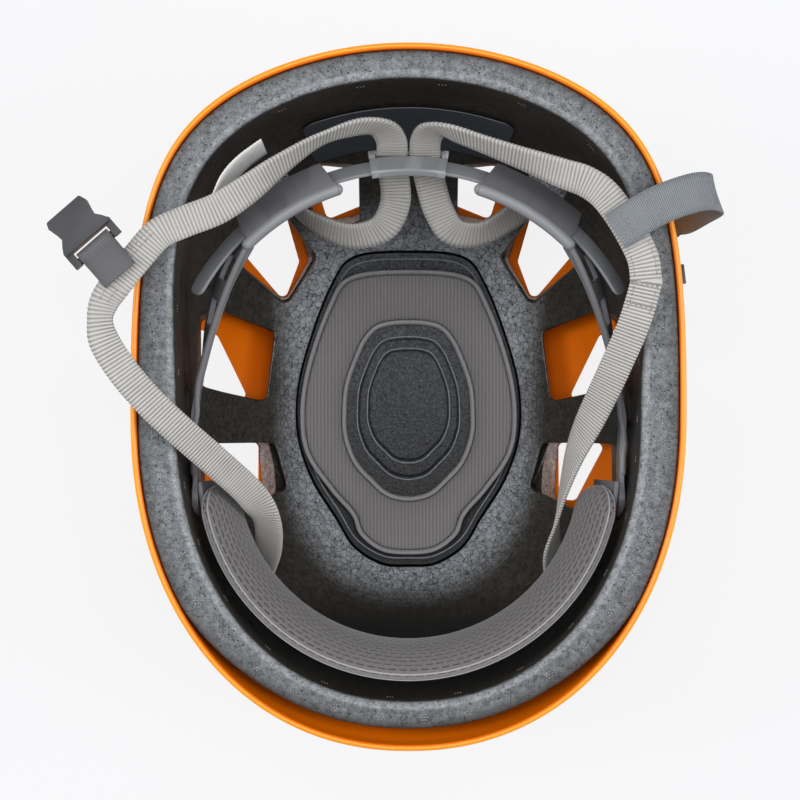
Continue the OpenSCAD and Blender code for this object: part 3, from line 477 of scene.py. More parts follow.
rows = [shellRow(t, 0) for t in levels]
for turn in np.linspace(0, np.pi, 9)[1:-1]:
    rows.append(ring(a, reach(a) - lip + lip * np.cos(turn), brim + lip * np.sin(turn)))
rows += [shellRow(t, helmet["wall"]) for t in levels[::-1]]
shell = makePiece("outerShell", *loft(rows))
outward(shell)
stacks = []
for vent in shellPiece["vents"]:
    for corners in (vent, mirrorX(vent)):
        spots, normals = roundedOutline(corners, shellPiece["ventCorner"])
        low = filletRows(spots, normals, outerHeight, shellPiece["ventFillet"], 1)[::-1]
        foot = low[0] * (1, 1, 0) + (0, 0, low[0][:, 2].min() - 20)
        stacks.append([foot] + low + [np.column_stack([spots, outerHeight(*spots.T) + up]) for up in (5, 25)])
carve(shell, manyLofts("ventCut", stacks))
soften(shell, 38)
dress(shell, absOrange, "helmet", "orange_shell", "outer_shell")
print("shell done,", len(shell.data.polygons), "faces")


# Expanded polystyrene beads fused in a mould: faint seams, dark pits where beads meet, a gritty skin
foamLooks = {
    "floor": {"beadSize": 2.3, "seamDepth": 0.42, "mottleSize": 2.6, "darkest": 0.42, "gritDepth": 0.17},
    "slopes": {"beadSize": 2.3, "seamDepth": 0.2, "mottleSize": 2.6, "darkest": 0.3, "gritDepth": 0.25},
    "insert": {"beadSize": 1.6, "seamDepth": 0.35, "mottleSize": 1.8, "darkest": 0.34, "gritDepth": 0.3},
}


def beadTone(tree, spot, beadSize, seamDepth, mottleSize, darkest, gritDepth):
    wobble = put(tree, "ShaderNodeTexNoise", {"Scale": 1 / (3.5 * mm), "Detail": 2.0, "Vector": spot})
    shift = put(tree, "ShaderNodeVectorMath", {"operation": "MULTIPLY_ADD", 1: (0.0007,) * 3,
                                               0: wobble.outputs["Color"], 2: spot})
    beads = put(tree, "ShaderNodeTexVoronoi", {"feature": "DISTANCE_TO_EDGE", "Scale": 1 / (beadSize * mm),
                                               "Vector": shift.outputs[0]})
    cells = put(tree, "ShaderNodeTexVoronoi", {"feature": "F1", "Scale": 1 / (beadSize * mm),
                                               "Vector": shift.outputs[0]})
    holes = put(tree, "ShaderNodeTexVoronoi", {"feature": "F1", "Scale": 1 / (beadSize * 1.15 * mm),
                                               "Vector": spot})
    blotch = noise(tree, spot, mottleSize, 4.0, 0.7)
    speck = noise(tree, spot, 0.55, 2.0, 0.7)
    gap = spread(tree, beads.outputs["Distance"], 0.01, 0.11, -seamDepth, 0.0)
    pit = spread(tree, holes.outputs["Distance"], 0.11, 0.19, -0.7, 0.0)
    lines = calc(tree, "ADD", gap, pit)
    own = put(tree, "ShaderNodeSeparateColor", {"Color": cells.outputs["Color"]})
    lift = spread(tree, own.outputs[0], 0, 1, -0.12, 0.12)
    mottle = spread(tree, blotch, 0.32, 0.68, darkest, 0.86)
    grit = spread(tree, speck, 0.36, 0.66, -gritDepth, gritDepth)
    first = calc(tree, "ADD", mottle, lines)
    second = calc(tree, "ADD", lift, grit)
    tone = calc(tree, "ADD", first, second, clamp=True)
    dent = calc(tree, "MULTIPLY_ADD", speck, 0.6, lines)
    return tone, dent, speck


def roughSkin(tree, shader, dent, speck):
    feed(tree, shader, "Roughness", spread(tree, speck, 0.36, 0.66, 0.4, 0.62))
    emboss(tree, shader, dent, 0.5, 0.4)


# Liner: pale blue-grey beads on the flat floor, painted shade (near black) on the slopes and towards the
# brow, a grey rim with painted shade towards its outer edge and the front, and a painted highlight along its
# inner lip.
# The cloth layer's first value runs across the rim, its second marks the windows' own faces, which get
# painted light (pale) where they look outwards
linerFoam, tree, shader = newFinish("moulded polystyrene bead foam, grey", "#7a7d82", 0.5, {"IOR": 1.45})
spot = inPlace(tree)
beadsOnFloor, deepSeams, speck = beadTone(tree, spot, **foamLooks["floor"])
tone, shallowSeams, speck = beadTone(tree, spot, **foamLooks["slopes"])
axes = put(tree, "ShaderNodeSeparateXYZ", {0: spot})
across = put(tree, "ShaderNodeSeparateXYZ", {0: laidFlat(tree)})
facing = put(tree, "ShaderNodeSeparateXYZ", {0: put(tree, "ShaderNodeNewGeometry").outputs["True Normal"]})
floorBeads = toned(tree, beadsOnFloor, "#2b2c2f", "#b4b9c0")
# Painted shade: steep faces get this near-black colour, while the flat floor and rim keep their bead colours
slopeShade = toned(tree, tone, "#0b0b0b", "#444039")
rimBeads = toned(tree, tone, "#303234", "#8a8f94")
# Painted highlight: paler beads along the rim's inner lip
lipHighlightBeads = toned(tree, tone, "#6c6f72", "#b6babf")
paleEdge = spread(tree, across.outputs["X"], 0.72, 0.95, 0, 0.6, smooth=True)
# Painted shade: the rim darkens towards its outer edge and towards the front
shaded = spread(tree, across.outputs["X"], 0.0, 0.6, 0.45, 0.0, smooth=True)
front = spread(tree, axes.outputs["Y"], -0.115, -0.055, 0.3, 0.0)
dim = calc(tree, "ADD", shaded, front, clamp=True)
rimTone = toned(tree, dim, rimBeads, "#2a2422")
rimLipHighlight = toned(tree, paleEdge, rimTone, lipHighlightBeads)
# Masks by steepness: steep faces take the painted shade
flat = spread(tree, facing.outputs["Z"], 0.72, 0.89, smooth=True)
level = spread(tree, facing.outputs["Z"], 0.3, 0.75, smooth=True)
inside = toned(tree, flat, slopeShade, floorBeads)
brim = toned(tree, level, slopeShade, rimLipHighlight)
# Painted shade: near black towards the brow, under the forehead pad
nearBrow = spread(tree, axes.outputs["Y"], -0.088, -0.072, 0.8, 0.0)
shadedInside = toned(tree, nearBrow, inside, "#131313")
high = spread(tree, axes.outputs["Z"], 0.10, 0.11)
whole = toned(tree, high, shadedInside, brim)
# Painted light: window faces that look outwards are pale, as if lit through the vents
ventLitFace = toned(tree, tone, "#4d4542", "#c9bcb5")
sideways = put(tree, "ShaderNodeVectorMath", {"operation": "MULTIPLY", 1: (1, 1, 0), 0: spot})
outwards = put(tree, "ShaderNodeVectorMath", {"operation": "DOT_PRODUCT", 0: sideways.outputs[0],
                                              1: put(tree, "ShaderNodeNewGeometry").outputs["True Normal"]})
lit = spread(tree, outwards.outputs["Value"], 0.008, 0.028)
cutFace = calc(tree, "MULTIPLY", lit, across.outputs["Y"])
feed(tree, shader, "Base Color", toned(tree, cutFace, whole, ventLitFace))
seams = put(tree, "ShaderNodeMix", {"data_type": "FLOAT", 0: flat, 2: shallowSeams, 3: deepSeams})
seamsUp = put(tree, "ShaderNodeMix", {"data_type": "FLOAT", 0: high, 2: seams.outputs[0], 3: shallowSeams})
roughSkin(tree, shader, seamsUp.outputs[0], speck)

# Crown insert: a darker mix with finer beads, specked with pale grains, with painted shade towards the brow
crownFoam, tree, shader = newFinish("moulded polystyrene bead foam, dark", "#3e4146", 0.5, {"IOR": 1.45})
spot = inPlace(tree)
tone, dent, speck = beadTone(tree, spot, **foamLooks["insert"])
axes = put(tree, "ShaderNodeSeparateXYZ", {0: spot})
# Painted shade: darker towards the brow
browShade = spread(tree, axes.outputs["Y"], -0.03, 0.045, 0.2, 1.0)
share = calc(tree, "MULTIPLY", tone, browShade)
feed(tree, shader, "Base Color", toned(tree, share, "#0a0b0c", "#62666c"))
roughSkin(tree, shader, dent, speck)

linerPiece = {
    "levels": 64, "innerLip": 3.6, "outerLip": 1.6, "windowCorner": 3, "windowFillet": 1.8, "head": 118,
    "knee": [50, 46, 56, 47], "sill": [32, 23, 20, 28],
    "windows": [
        [(24.5, 107), (24.5, 86), (31, 84.5), (39, 91), (39, 106)],
        [(55, 86), (44, 71.5), (54.5, 55), (71.5, 70), (68, 82)],
        [(62, 37), (81, 44), (85, 41), (85, 17), (65, 11.5)],
        [(61, -13), (84, -13), (84, -34), (81.5, -40), (63, -31), (57, -28.5)]],
    "feet": [
        [(24.5, 107), (24.5, 94), (33, 92.5), (40, 97), (40, 108)],
        [(55, 86), (48.5, 71.5), (56, 58), (72, 72), (69, 84)],
        [(63, 37), (83, 44), (88, 41), (88, 17), (66, 12)],
        [(69, -13), (86, -13), (86, -34), (83.5, -40), (70, -34), (69, -31)]]}
crownLines = {
    "middle": (0, 8), "gap": 0.6,
    "insert": [
        (0, 74), (24, 71.5), (34, 59), (43, 36), (48.5, 14), (48.5, -7), (42.5, -26), (32, -43),
        (24, -55.5), (12, -63), (0, -64)],
    "padOuter": [
        (0, 66.5), (26, 63.5), (36, 50), (45, 24), (48, 3), (45.5, -15), (35, -31), (25.5, -42),
        (21.5, -51), (12, -58), (0, -59.5)],
    "padHole": [
        (0, 42.5), (12, 41), (18, 36), (22.5, 27), (26.5, 15), (27.5, 3), (27, -7), (23, -18), (16, -26),
        (9, -32), (0, -34)]}


def crownLine(name, per=14):
    half = crownLines[name]
    return spline(half[::-1] + [(-p[0], p[1]) for p in half[1:-1]], per, True)


def about(line, centre, share):
    return np.asarray(centre) + (line - np.asarray(centre)) * share


def flatNormals(line):
    way = np.roll(line, -1, 0) - np.roll(line, 1, 0)
    side = np.column_stack([way[:, 1], -way[:, 0]])
    return unit(side)


def hullCut(name, groups, marked):
    piece = makePiece(name, np.zeros((0, 3)), [])
    net = bmesh.new()
    for points in groups:
        corners = [net.verts.new(np.asarray(p) * mm) for p in points]
        made = bmesh.ops.convex_hull(net, input=corners)
        spare = {v for v in made["geom_interior"] + made["geom_unused"] if isinstance(v, bmesh.types.BMVert)}
        bmesh.ops.delete(net, geom=[v for v in spare if v.is_valid], context="VERTS")
    net.to_mesh(piece.data)
    net.free()
    marks = piece.data.uv_layers.new(name="cloth")
    marks.data.foreach_set("uv", [0.0, float(marked)] * len(piece.data.loops))
    return piece


a = roundAngles
top = rimHeight(a) - lining["drop"]
lipIn, lipOut = linerPiece["innerLip"], linerPiece["outerLip"]
skirt = reach(a) - lining["skin"] - flare(a)
inner = reach(a) - liningInset(a)
levels = np.linspace(helmet["crownFlat"], 1, linerPiece["levels"])
rows = []
for t in levels:   # outer face, held under the rounded outer lip
    z = lining["skin"] + (rimHeight(a) - lining["skin"]) * upShare(t, helmet["fullness"])
    rows.append(ring(a, skirt * outShare(t, helmet["fullness"]),
                     np.minimum(z, top - lipOut - 0.02 * (1 - t))))
for turn in np.linspace(0, np.pi / 2, 6)[1:]:
    rows.append(ring(a, skirt - lipOut * (1 - np.cos(turn)), top - lipOut * (1 - np.sin(turn))))
for share in (0.33, 0.66):
    rows.append(ring(a, skirt - lipOut + (inner + lipIn - skirt + lipOut) * share, top))
for turn in np.linspace(np.pi / 2, 0, 9):
    rows.append(ring(a, inner + lipIn * (1 - np.cos(turn)), top - lipIn * (1 - np.sin(turn))))
for t in levels[::-1]:
    z = lining["crown"] + (top - lipIn - lining["crown"]) * upShare(t, lining["fullness"])
    rows.append(ring(a, inner * outShare(t, lining["fullness"]), z))
rows = rows[:-linerPiece["levels"]] + rows[-linerPiece["levels"] + 1:]
rimShare = np.interp(np.arange(len(rows)), linerPiece["levels"] + np.array([0, 4, 5, 6, 8, 15]),
                     [0, 0.08, 0.38, 0.68, 0.92, 1]) / mm
points, faces = loft(rows)
liner = makePiece("foamLiner", points, faces, np.repeat(np.column_stack([rimShare, rimShare * 0]), len(a), 0))
outward(liner)

wells, fillets = [], []
for k, window in enumerate(linerPiece["windows"]):
    for flip in (1, -1):
        corner = linerPiece["windowCorner"]
        disc = [(corner * math.cos(q), corner * math.sin(q)) for q in fullTurn(24)]
        points = []
        for outline, heights in ((window, (linerPiece["knee"][k], linerPiece["head"])),
                                 (linerPiece["feet"][k],
                                  (linerPiece["sill"][k], linerPiece["sill"][k] + 1))):
            points += [((p[0] + d[0]) * flip, p[1] + d[1], z) for p in outline for d in disc for z in heights]
        wells.append(points)
        spots, normals = roundedOutline([(p[0] * flip, p[1]) for p in window], corner)
        bend = filletRows(spots, normals, innerHeight, linerPiece["windowFillet"], -1)
        tucked = spots - normals * 0.4
        deep = [np.column_stack([tucked, innerHeight(*spots.T) - linerPiece["windowFillet"] - d])
                for d in (6, 0.5)]
        crest = bend[-1] * (1, 1, 0) + (0, 0, bend[-1][:, 2].max() + 12)
        fillets.append(deep + bend + [crest])
insertLine = crownLine("insert")
recess = about(insertLine, crownLines["middle"], 1 + crownLines["gap"] / 50)
bend = filletRows(recess, flatNormals(recess), innerHeight, 1.0, -1)
well = [np.column_stack([recess, np.full(len(recess), z)]) for z in (-5, 12)]
crest = bend[-1] * (1, 1, 0) + (0, 0, bend[-1][:, 2].max() + 15)
# Strap anchors are let into the wall
anchorPocket = {"spots": ((-45, 72), (225, 72), (59.5, 82), (120.5, 82)), "deep": 7.4, "wide": 8.9,
                "tall": 6.4}
pockets = []
for degrees, height in anchorPocket["spots"]:
    q = math.radians(degrees)
    way, across = np.array([math.cos(q), math.sin(q)]), np.array([-math.sin(q), math.cos(q)])
    spot = way * innerWall(np.array(q), height)
    deep, wide, tall = ((-anchorPocket[key], anchorPocket[key]) for key in ("deep", "wide", "tall"))
    pockets.append([(*(spot + way * out + across * side), height + up) for out in deep for side in wide
                    for up in tall])
# Room for the cradle's eyes, and a channel that the arms swing down into
armChannel = {"pivot": (-32, 112), "radius": 9.3, "long": 35, "walls": (85.9, 89.4), "swings": (0, 5, 10),
              "sides": 32}
for flip in (1, -1):
    for stow in np.radians(armChannel["swings"]):
        radius, (atY, atZ) = armChannel["radius"], armChannel["pivot"]
        turns = [(y + radius * math.cos(q), radius * math.sin(q)) for y in (0, armChannel["long"])
                 for q in fullTurn(armChannel["sides"])]
        pockets.append([(x * flip, atY + y * math.cos(stow) + z * math.sin(stow), atZ - y * math.sin(stow)
                         + z * math.cos(stow)) for x in armChannel["walls"] for y, z in turns])
carve(liner, hullCut("windowWells", wells, 1), manyLofts("windowFillets", fillets),
      manyLofts("crownRecess", [well + bend + [crest]]), hullCut("anchorPockets", pockets, 0))
soften(liner, 40)
dress(liner, linerFoam, "helmet", "grey_foam", "foam_liner")
print("liner done,", len(liner.data.polygons), "faces")

# Crown insert: a dark foam block with two shallow steps in its middle
insertPiece = {"rise": 0.8, "step": 1.4, "edge": 1.1, "deep": 14, "stepCentre": (0, 11),
               "shares": (0.8, 0.64)}
holeLine = crownLine("padHole")
stepOne, stepTwo = (about(holeLine, insertPiece["stepCentre"], s) for s in insertPiece["shares"])


def onLiner(line, lift):
    return np.column_stack([line, innerHeight(line[:, 0], line[:, 1]) + lift])


rise, step, edge = insertPiece["rise"], insertPiece["step"], insertPiece["edge"]
side = flatNormals(insertLine)
rows = [onLiner(line, -insertPiece["deep"]) for line in (about(insertLine, crownLines["middle"], 0.05),
                                                         insertLine)]
rows.append(onLiner(insertLine, rise - edge))
for turn in np.linspace(0, np.pi / 2, 6)[1:]:
    rows.append(onLiner(insertLine - side * edge * (1 - math.cos(turn)), rise - edge * (1 - math.sin(turn))))
for share in np.linspace(0.12, 0.92, 9):
    rows.append(onLiner(insertLine + (stepOne - insertLine) * share, rise))
stepBend = ((0.9, 0), (0.5, 0.04), (0.15, 0.2), (0, 0.5), (-0.15, 0.8), (-0.5, 0.96), (-0.9, 1))
for line, drop in ((stepOne, 0), (stepTwo, step)):
    side = flatNormals(line)
    for out, down in stepBend:
        rows.append(onLiner(line + side * out, rise - drop - step * down))
for share in (0.85, 0.6, 0.3, 0.05):
    rows.append(onLiner(about(stepTwo, insertPiece["stepCentre"], share), rise - 2 * step))
crownInsert = outward(makePiece("crownInsert", *loft(rows)))
soften(crownInsert, 60)
dress(crownInsert, crownFoam, "helmet", "dark_foam", "crown_insert")
print("crown insert done")


# Foam pads in their covers are blown up by a short cloth run: the edges and the back are held
def inflate(piece, heldShare, pressure, cap, grow=12, frames=18):
    puff = piece.copy()
    puff.data = piece.data.copy()
    scene.collection.objects.link(puff)
    count = len(puff.data.vertices)
    start = np.zeros(count * 3)
    puff.data.vertices.foreach_get("co", start)
    puff.data.vertices.foreach_set("co", start * grow)
    held = puff.vertex_groups.new(name="held")
    for k in range(count):
        held.add([k], float(heldShare[k]), "REPLACE")
    cloth = puff.modifiers.new("cover", "CLOTH")
    cloth.settings.quality = 6
    cloth.settings.mass = 0.3
    cloth.settings.tension_stiffness = cloth.settings.compression_stiffness = 12
    cloth.settings.bending_stiffness = 0.4
    cloth.settings.use_pressure = True
    cloth.settings.uniform_pressure_force = pressure
    cloth.settings.vertex_group_mass = "held"
    cloth.settings.effector_weights.gravity = 0
    cloth.collision_settings.use_collision = False
    cloth.point_cache.frame_start, cloth.point_cache.frame_end = 1, frames
    for step in range(1, frames + 1):
        scene.frame_set(step)
    blown = np.zeros(count * 3)
    puff.evaluated_get(bpy.context.evaluated_depsgraph_get()).data.vertices.foreach_get("co", blown)
    scene.frame_set(1)
    move = (blown / grow - start).reshape(-1, 3)
    length = np.linalg.norm(move, axis=1, keepdims=True)
    move *= np.minimum(1, cap * mm / np.maximum(length, 1e-9))
    piece.data.vertices.foreach_set("co", (start.reshape(-1, 3) + move).ravel())
    piece.data.update()
    bpy.data.objects.remove(puff)
    print(piece.name, "blown up by", round(float(length.max()) * 1000, 2), "mm at most")
    return piece


# Polyester rib knit over foam: fine upright ribs, soft sheen, slight fuzz
knit, tree, shader = newFinish("polyester rib knit laminated on foam", "#77747a", 0.85,
                               {"Sheen Weight": 0.25, "Sheen Roughness": 0.45})
place = inPlace(tree)
ribs = bands(tree, place, "X", 1.55, {"Distortion": 0.6, "Detail": 1.0, "Detail Scale": 3.0})
loops = bands(tree, place, "Y", 0.8, {"Distortion": 0.8})
fuzz = noise(tree, place, 0.7, 4.0)
pattern = calc(tree, "MULTIPLY_ADD", loops, 0.35, ribs)
worn = calc(tree, "MULTIPLY_ADD", fuzz, 0.6, pattern)
tone = spread(tree, worn, 0.2, 1.7)
feed(tree, shader, "Base Color", toned(tree, tone, "#6b696b", "#8d8a8c"))
emboss(tree, shader, pattern, 0.5, 0.25)

# Welded cloth edge: the same cover pressed flat and shiny by the welding tool
weld = speckled("polyester cover, welded edge", 0.8, 3.0, ("#7d7b7e", "#a09ea0"), (0.3, 0.15), "#85838a",
                0.6, {"Sheen Weight": 0.15})

crownPad = {"base": 2.15, "thick": 5.5, "edge": 2.2, "edgeHeight": 2.7, "groove": 2.35, "across": 18,
            "below": 6, "pressure": 5.0, "mostBlown": 1.4, "fill": 0.5}
outer, hole = crownLine("padOuter"), crownLine("padHole")
outSide, inSide = flatNormals(outer), flatNormals(hole)
base = crownPad["base"]
fieldOut, fieldIn = outer - outSide * (crownPad["edge"] + 0.2), hole + inSide * (crownPad["edge"] + 0.2)
shares = np.linspace(0, 1, crownPad["across"])
crest = crownPad["groove"] + (crownPad["thick"] - 1.0 - crownPad["groove"]) * np.sin(np.pi * shares) ** 0.62
rows = [onLiner(fieldOut + (fieldIn - fieldOut) * s, base + h) for s, h in zip(shares, crest)]
rows += [onLiner(fieldIn + (fieldOut - fieldIn) * s, base + 0.05)
         for s in np.linspace(0, 1, crownPad["below"])]
padField = makePiece("crownPad", *loft(rows, looped=True))
count = len(rows[0])
held = np.concatenate([np.repeat(np.where((shares == 0) | (shares == 1), 1.0, 0.0), count),
                       np.ones(crownPad["below"] * count)])
outward(padField)
inflate(padField, held, crownPad["pressure"], crownPad["mostBlown"])
dress(padField, knit, "helmet", "knit_pad", "crown_pad")


def bead(line, side, width, height, low, onto, steps=9):
    rows = []
    for turn in np.linspace(-0.25 * np.pi, 1.25 * np.pi, steps):
        rows.append(onto(line - side * width / 2 * (1 - math.cos(turn)),
                         low + max(0.03, height * (0.45 + 0.55 * math.sin(turn)))))
    rows.append(onto(line - side * width * 0.8, low))
    rows.append(onto(line - side * width * 0.2, low))
    return rows


for name, line, side in (("crownPadOuterEdge", outer, outSide), ("crownPadInnerEdge", hole, -inSide)):
    rows = bead(line, side, crownPad["edge"], crownPad["edgeHeight"], base, onLiner)
    edging = outward(makePiece(name, *loft(rows, looped=True)))
    dress(edging, weld, "helmet", "knit_pad")
print("crown pad done")


# Spacer mesh on the forehead pad: warp-knit polyester with rows of short open dashes, at their real size
spacer, tree, shader = newFinish("warp knit polyester spacer mesh", "#5f5d61", 0.8,
                                 {"Sheen Weight": 0.3, "Sheen Roughness": 0.4})
dashRow, dashRun = 2.6, 4.3
laid = laidFlat(tree)
flat = put(tree, "ShaderNodeSeparateXYZ", {0: laid})
rank = calc(tree, "DIVIDE", flat.outputs["Y"], dashRow * mm)
row = calc(tree, "FLOOR", rank)
inRow = calc(tree, "FRACT", rank)
run = calc(tree, "DIVIDE", flat.outputs["X"], dashRun * mm)
stagger = calc(tree, "MULTIPLY_ADD", row, 0.5, run)
inRun = calc(tree, "FRACT", stagger)
offRow = calc(tree, "PINGPONG", inRow, 0.5)
offRun = calc(tree, "PINGPONG", inRun, 0.5)
thin = spread(tree, offRow, 0.30, 0.40)
short = spread(tree, offRun, 0.13, 0.19)
dashes = calc(tree, "MULTIPLY", thin, short)
threads = bands(tree, laid, "Y", 0.7, {"Distortion": 1.5, "Detail": 1.0})
fuzz = noise(tree, laid, 1.2, 4.0)
cloth = calc(tree, "MULTIPLY_ADD", threads, 0.3, fuzz)
yarn = toned(tree, cloth, "#595658", "#7e7b7d")
feed(tree, shader, "Base Color", toned(tree, dashes, yarn, "#3d3b3d"))
holes = calc(tree, "MULTIPLY", dashes, -1.0)
depth = calc(tree, "MULTIPLY_ADD", cloth, 0.25, holes)
emboss(tree, shader, depth, 0.7, 0.5)

browPad = {"centre": -20, "radius": 86, "top": 130, "height": 38, "lean": 16, "half": 85, "round": 9,
           "thick": 8.6, "edge": 2.2, "along": 170, "across": 17, "piping": 0.8, "pipes": (2.4, 0.3),
           "clothReach": 80, "pressure": 6.0, "mostBlown": 1.6, "fill": 0.7}


def browPoint(theta, u, depth):
    z = browPad["top"] - browPad["height"] * (1 - u)
    r = browPad["radius"] - (browPad["top"] - z) * math.tan(math.radians(browPad["lean"])) - depth
    return np.stack([r * np.sin(theta), browPad["centre"] - r * np.cos(theta), z + 0 * theta], -1)


thetas = np.radians(np.linspace(-browPad["half"], browPad["half"], browPad["along"]))
bare = np.radians(browPad["half"] - browPad["round"])
past = np.maximum(0, np.abs(thetas) - bare) / np.radians(browPad["round"])
taper = np.sqrt(np.maximum(0.0025, 1 - past ** 2))
face = np.linspace(0.985, 0.015, browPad["across"])
section = [(1.0, 0.15), (1.004, 0.8), (1.004, 1.5), (0.998, browPad["edge"] - 0.2)]
swell = browPad["thick"] - browPad["edge"] - 1.2
section += [(u, browPad["edge"] + swell * math.sin(math.pi * u) ** 0.55) for u in face]
section += [(0.0, 2.2), (0.0, 0.15), (0.25, 0.15), (0.5, 0.15), (0.75, 0.15)]
rings, laidOut = [], []
for k, theta in enumerate(thetas):
    h = taper[k]
    loop = np.array([browPoint(theta, 0.5 + (u - 0.5) * h, d * (0.35 + 0.65 * h)) for u, d in section])
    rings.append(loop)
    run = runAlong(loop)
    middle = run[4 + browPad["across"] // 2]
    laidOut.append(np.column_stack([np.full(len(loop), theta * browPad["clothReach"]), run - middle]))
points, faces = loft(rings)
pad = makePiece("foreheadPad", points, faces, np.concatenate(laidOut))
outward(pad)
cols = len(section)
free = np.zeros(cols)
free[5:4 + browPad["across"] - 1] = 1
ends = np.ones(len(thetas))
ends[:3] = ends[-3:] = 0
inflate(pad, 1 - np.outer(ends, free).ravel(), browPad["pressure"], browPad["mostBlown"])
dress(pad, spacer, "helmet", "mesh_pad", "forehead_pad")
pad.data.materials.append(weld)
index = np.zeros(len(pad.data.polygons), np.int32)
for k, polygon in enumerate(pad.data.polygons):
    across = sorted(v % cols for v in polygon.vertices)
    if across[-1] > 3 + browPad["across"]:
        index[k] = 1
pad.data.polygons.foreach_set("material_index", index)

# Two lines of piping sewn along the pad's rim edge, one to its face and one to its back
centre = np.array([0, browPad["centre"], 0])
pipes = []
for depth in browPad["pipes"]:
    line = np.array([browPoint(t, 0.5 + 0.492 * h, depth * (0.35 + 0.65 * h)) for t, h in zip(thetas, taper)])
    rows = []
    for p in line:
        out = unit((p - centre) * (1, 1, 0))
        rows.append([p + browPad["piping"] / 2 * (out * math.cos(q) + np.array([0, 0, 1]) * math.sin(q))
                     for q in fullTurn(8)])
    pipes.append(rows)
piping = outward(manyLofts("foreheadPiping", pipes))
piped = speckled("woven polyester piping", 0.6, 2.0, ("#8f8d91", "#bab8bb"), (0.3, 0.1), "#a5a3a6", 0.7,
                 {"Sheen Weight": 0.2})
dress(piping, piped, "helmet", "mesh_pad")
print("forehead pad done")


# Nylon webbing: cross ribs made in the mesh, finer on the chin strap, with warp threads in the finish
def webbingFinish(name, pale, deep, rib):
    finish, tree, shader = newFinish(name, pale, 0.58, {"Sheen Weight": 0.2, "Sheen Roughness": 0.35})
    laid = laidFlat(tree)
    ribs = bands(tree, laid, "Y", rib, {"Phase Offset": math.pi / 2})
    warp = bands(tree, laid, "X", 0.45, {"Distortion": 0.5})
    dirt = noise(tree, laid, 9, 4.0)
    yarn = calc(tree, "MULTIPLY_ADD", warp, 0.25, ribs)
    tone = calc(tree, "MULTIPLY_ADD", dirt, 0.5, yarn)
    share = spread(tree, tone, 0.15, 1.25)
    feed(tree, shader, "Base Color", toned(tree, share, deep, pale))
    emboss(tree, shader, yarn, 0.35, 0.2)
    return finish


webbing = {"width": 12.5, "chin": 15.5, "thick": 1.3, "rib": 1.5, "fineRib": 0.8, "ribDepth": 0.1}
greyWebbing = webbingFinish("nylon webbing, light grey", "#c3c1bd", "#7b7978", webbing["rib"])
slateWebbing = webbingFinish("nylon webbing, slate grey", "#8b9096", "#53575c", webbing["fineRib"])
darkWebbing = webbingFinish("nylon webbing, dark grey", "#6a6a6d", "#424347", webbing["fineRib"])

strapFrames = {}


def ribbon(name, route, width, thick, rib=webbing["rib"]):
    route = np.asarray(route, float)
    dense = spline(route, 60, False)
    run = runAlong(dense[:, :3])
    count = int(run[-1] / rib * 8) + 1
    at = np.linspace(0, run[-1], count)
    spots = np.column_stack([np.interp(at, run, dense[:, k]) for k in range(3)])
    ways = np.column_stack([np.interp(at, run, dense[:, k]) for k in range(3, 6)])
    along = unit(np.gradient(spots, axis=0))
    ways = unit(ways - along * (ways * along).sum(1, keepdims=True))
    up = np.cross(along, ways)
    strapFrames[name] = (at, spots, ways, up, width, thick)
    beat = np.cos(2 * np.pi * at / rib)
    swell = 1 + webbing["ribDepth"] * beat
    broad = width / 2 + 0.1 * beat
    across = np.array([-0.985, -0.62, -0.2, 0.2, 0.62, 0.985])
    loop = [(c, 1) for c in across] + [(1, 0)] + [(c, -1) for c in across[::-1]] + [(-1, 0)]
    rings = np.stack([spots + ways * (c * broad)[:, None] + up * (h * thick / 2 * swell)[:, None]
                      for c, h in loop], 1)
    uv = np.stack([np.column_stack([np.full(count, c * width / 2), at]) for c, h in loop], 1)
    points, faces = loft(rings)
    return outward(makePiece(name, points, faces, uv.reshape(-1, 2)))


hangAngle, hangReach, barHeight, wrap = math.radians(38), 136.976, 66, 2.55


def hang(out, z):
    return [(hangReach + out) * math.cos(hangAngle), (hangReach + out) * math.sin(hangAngle), z,
            -math.sin(hangAngle), math.cos(hangAngle), 0]


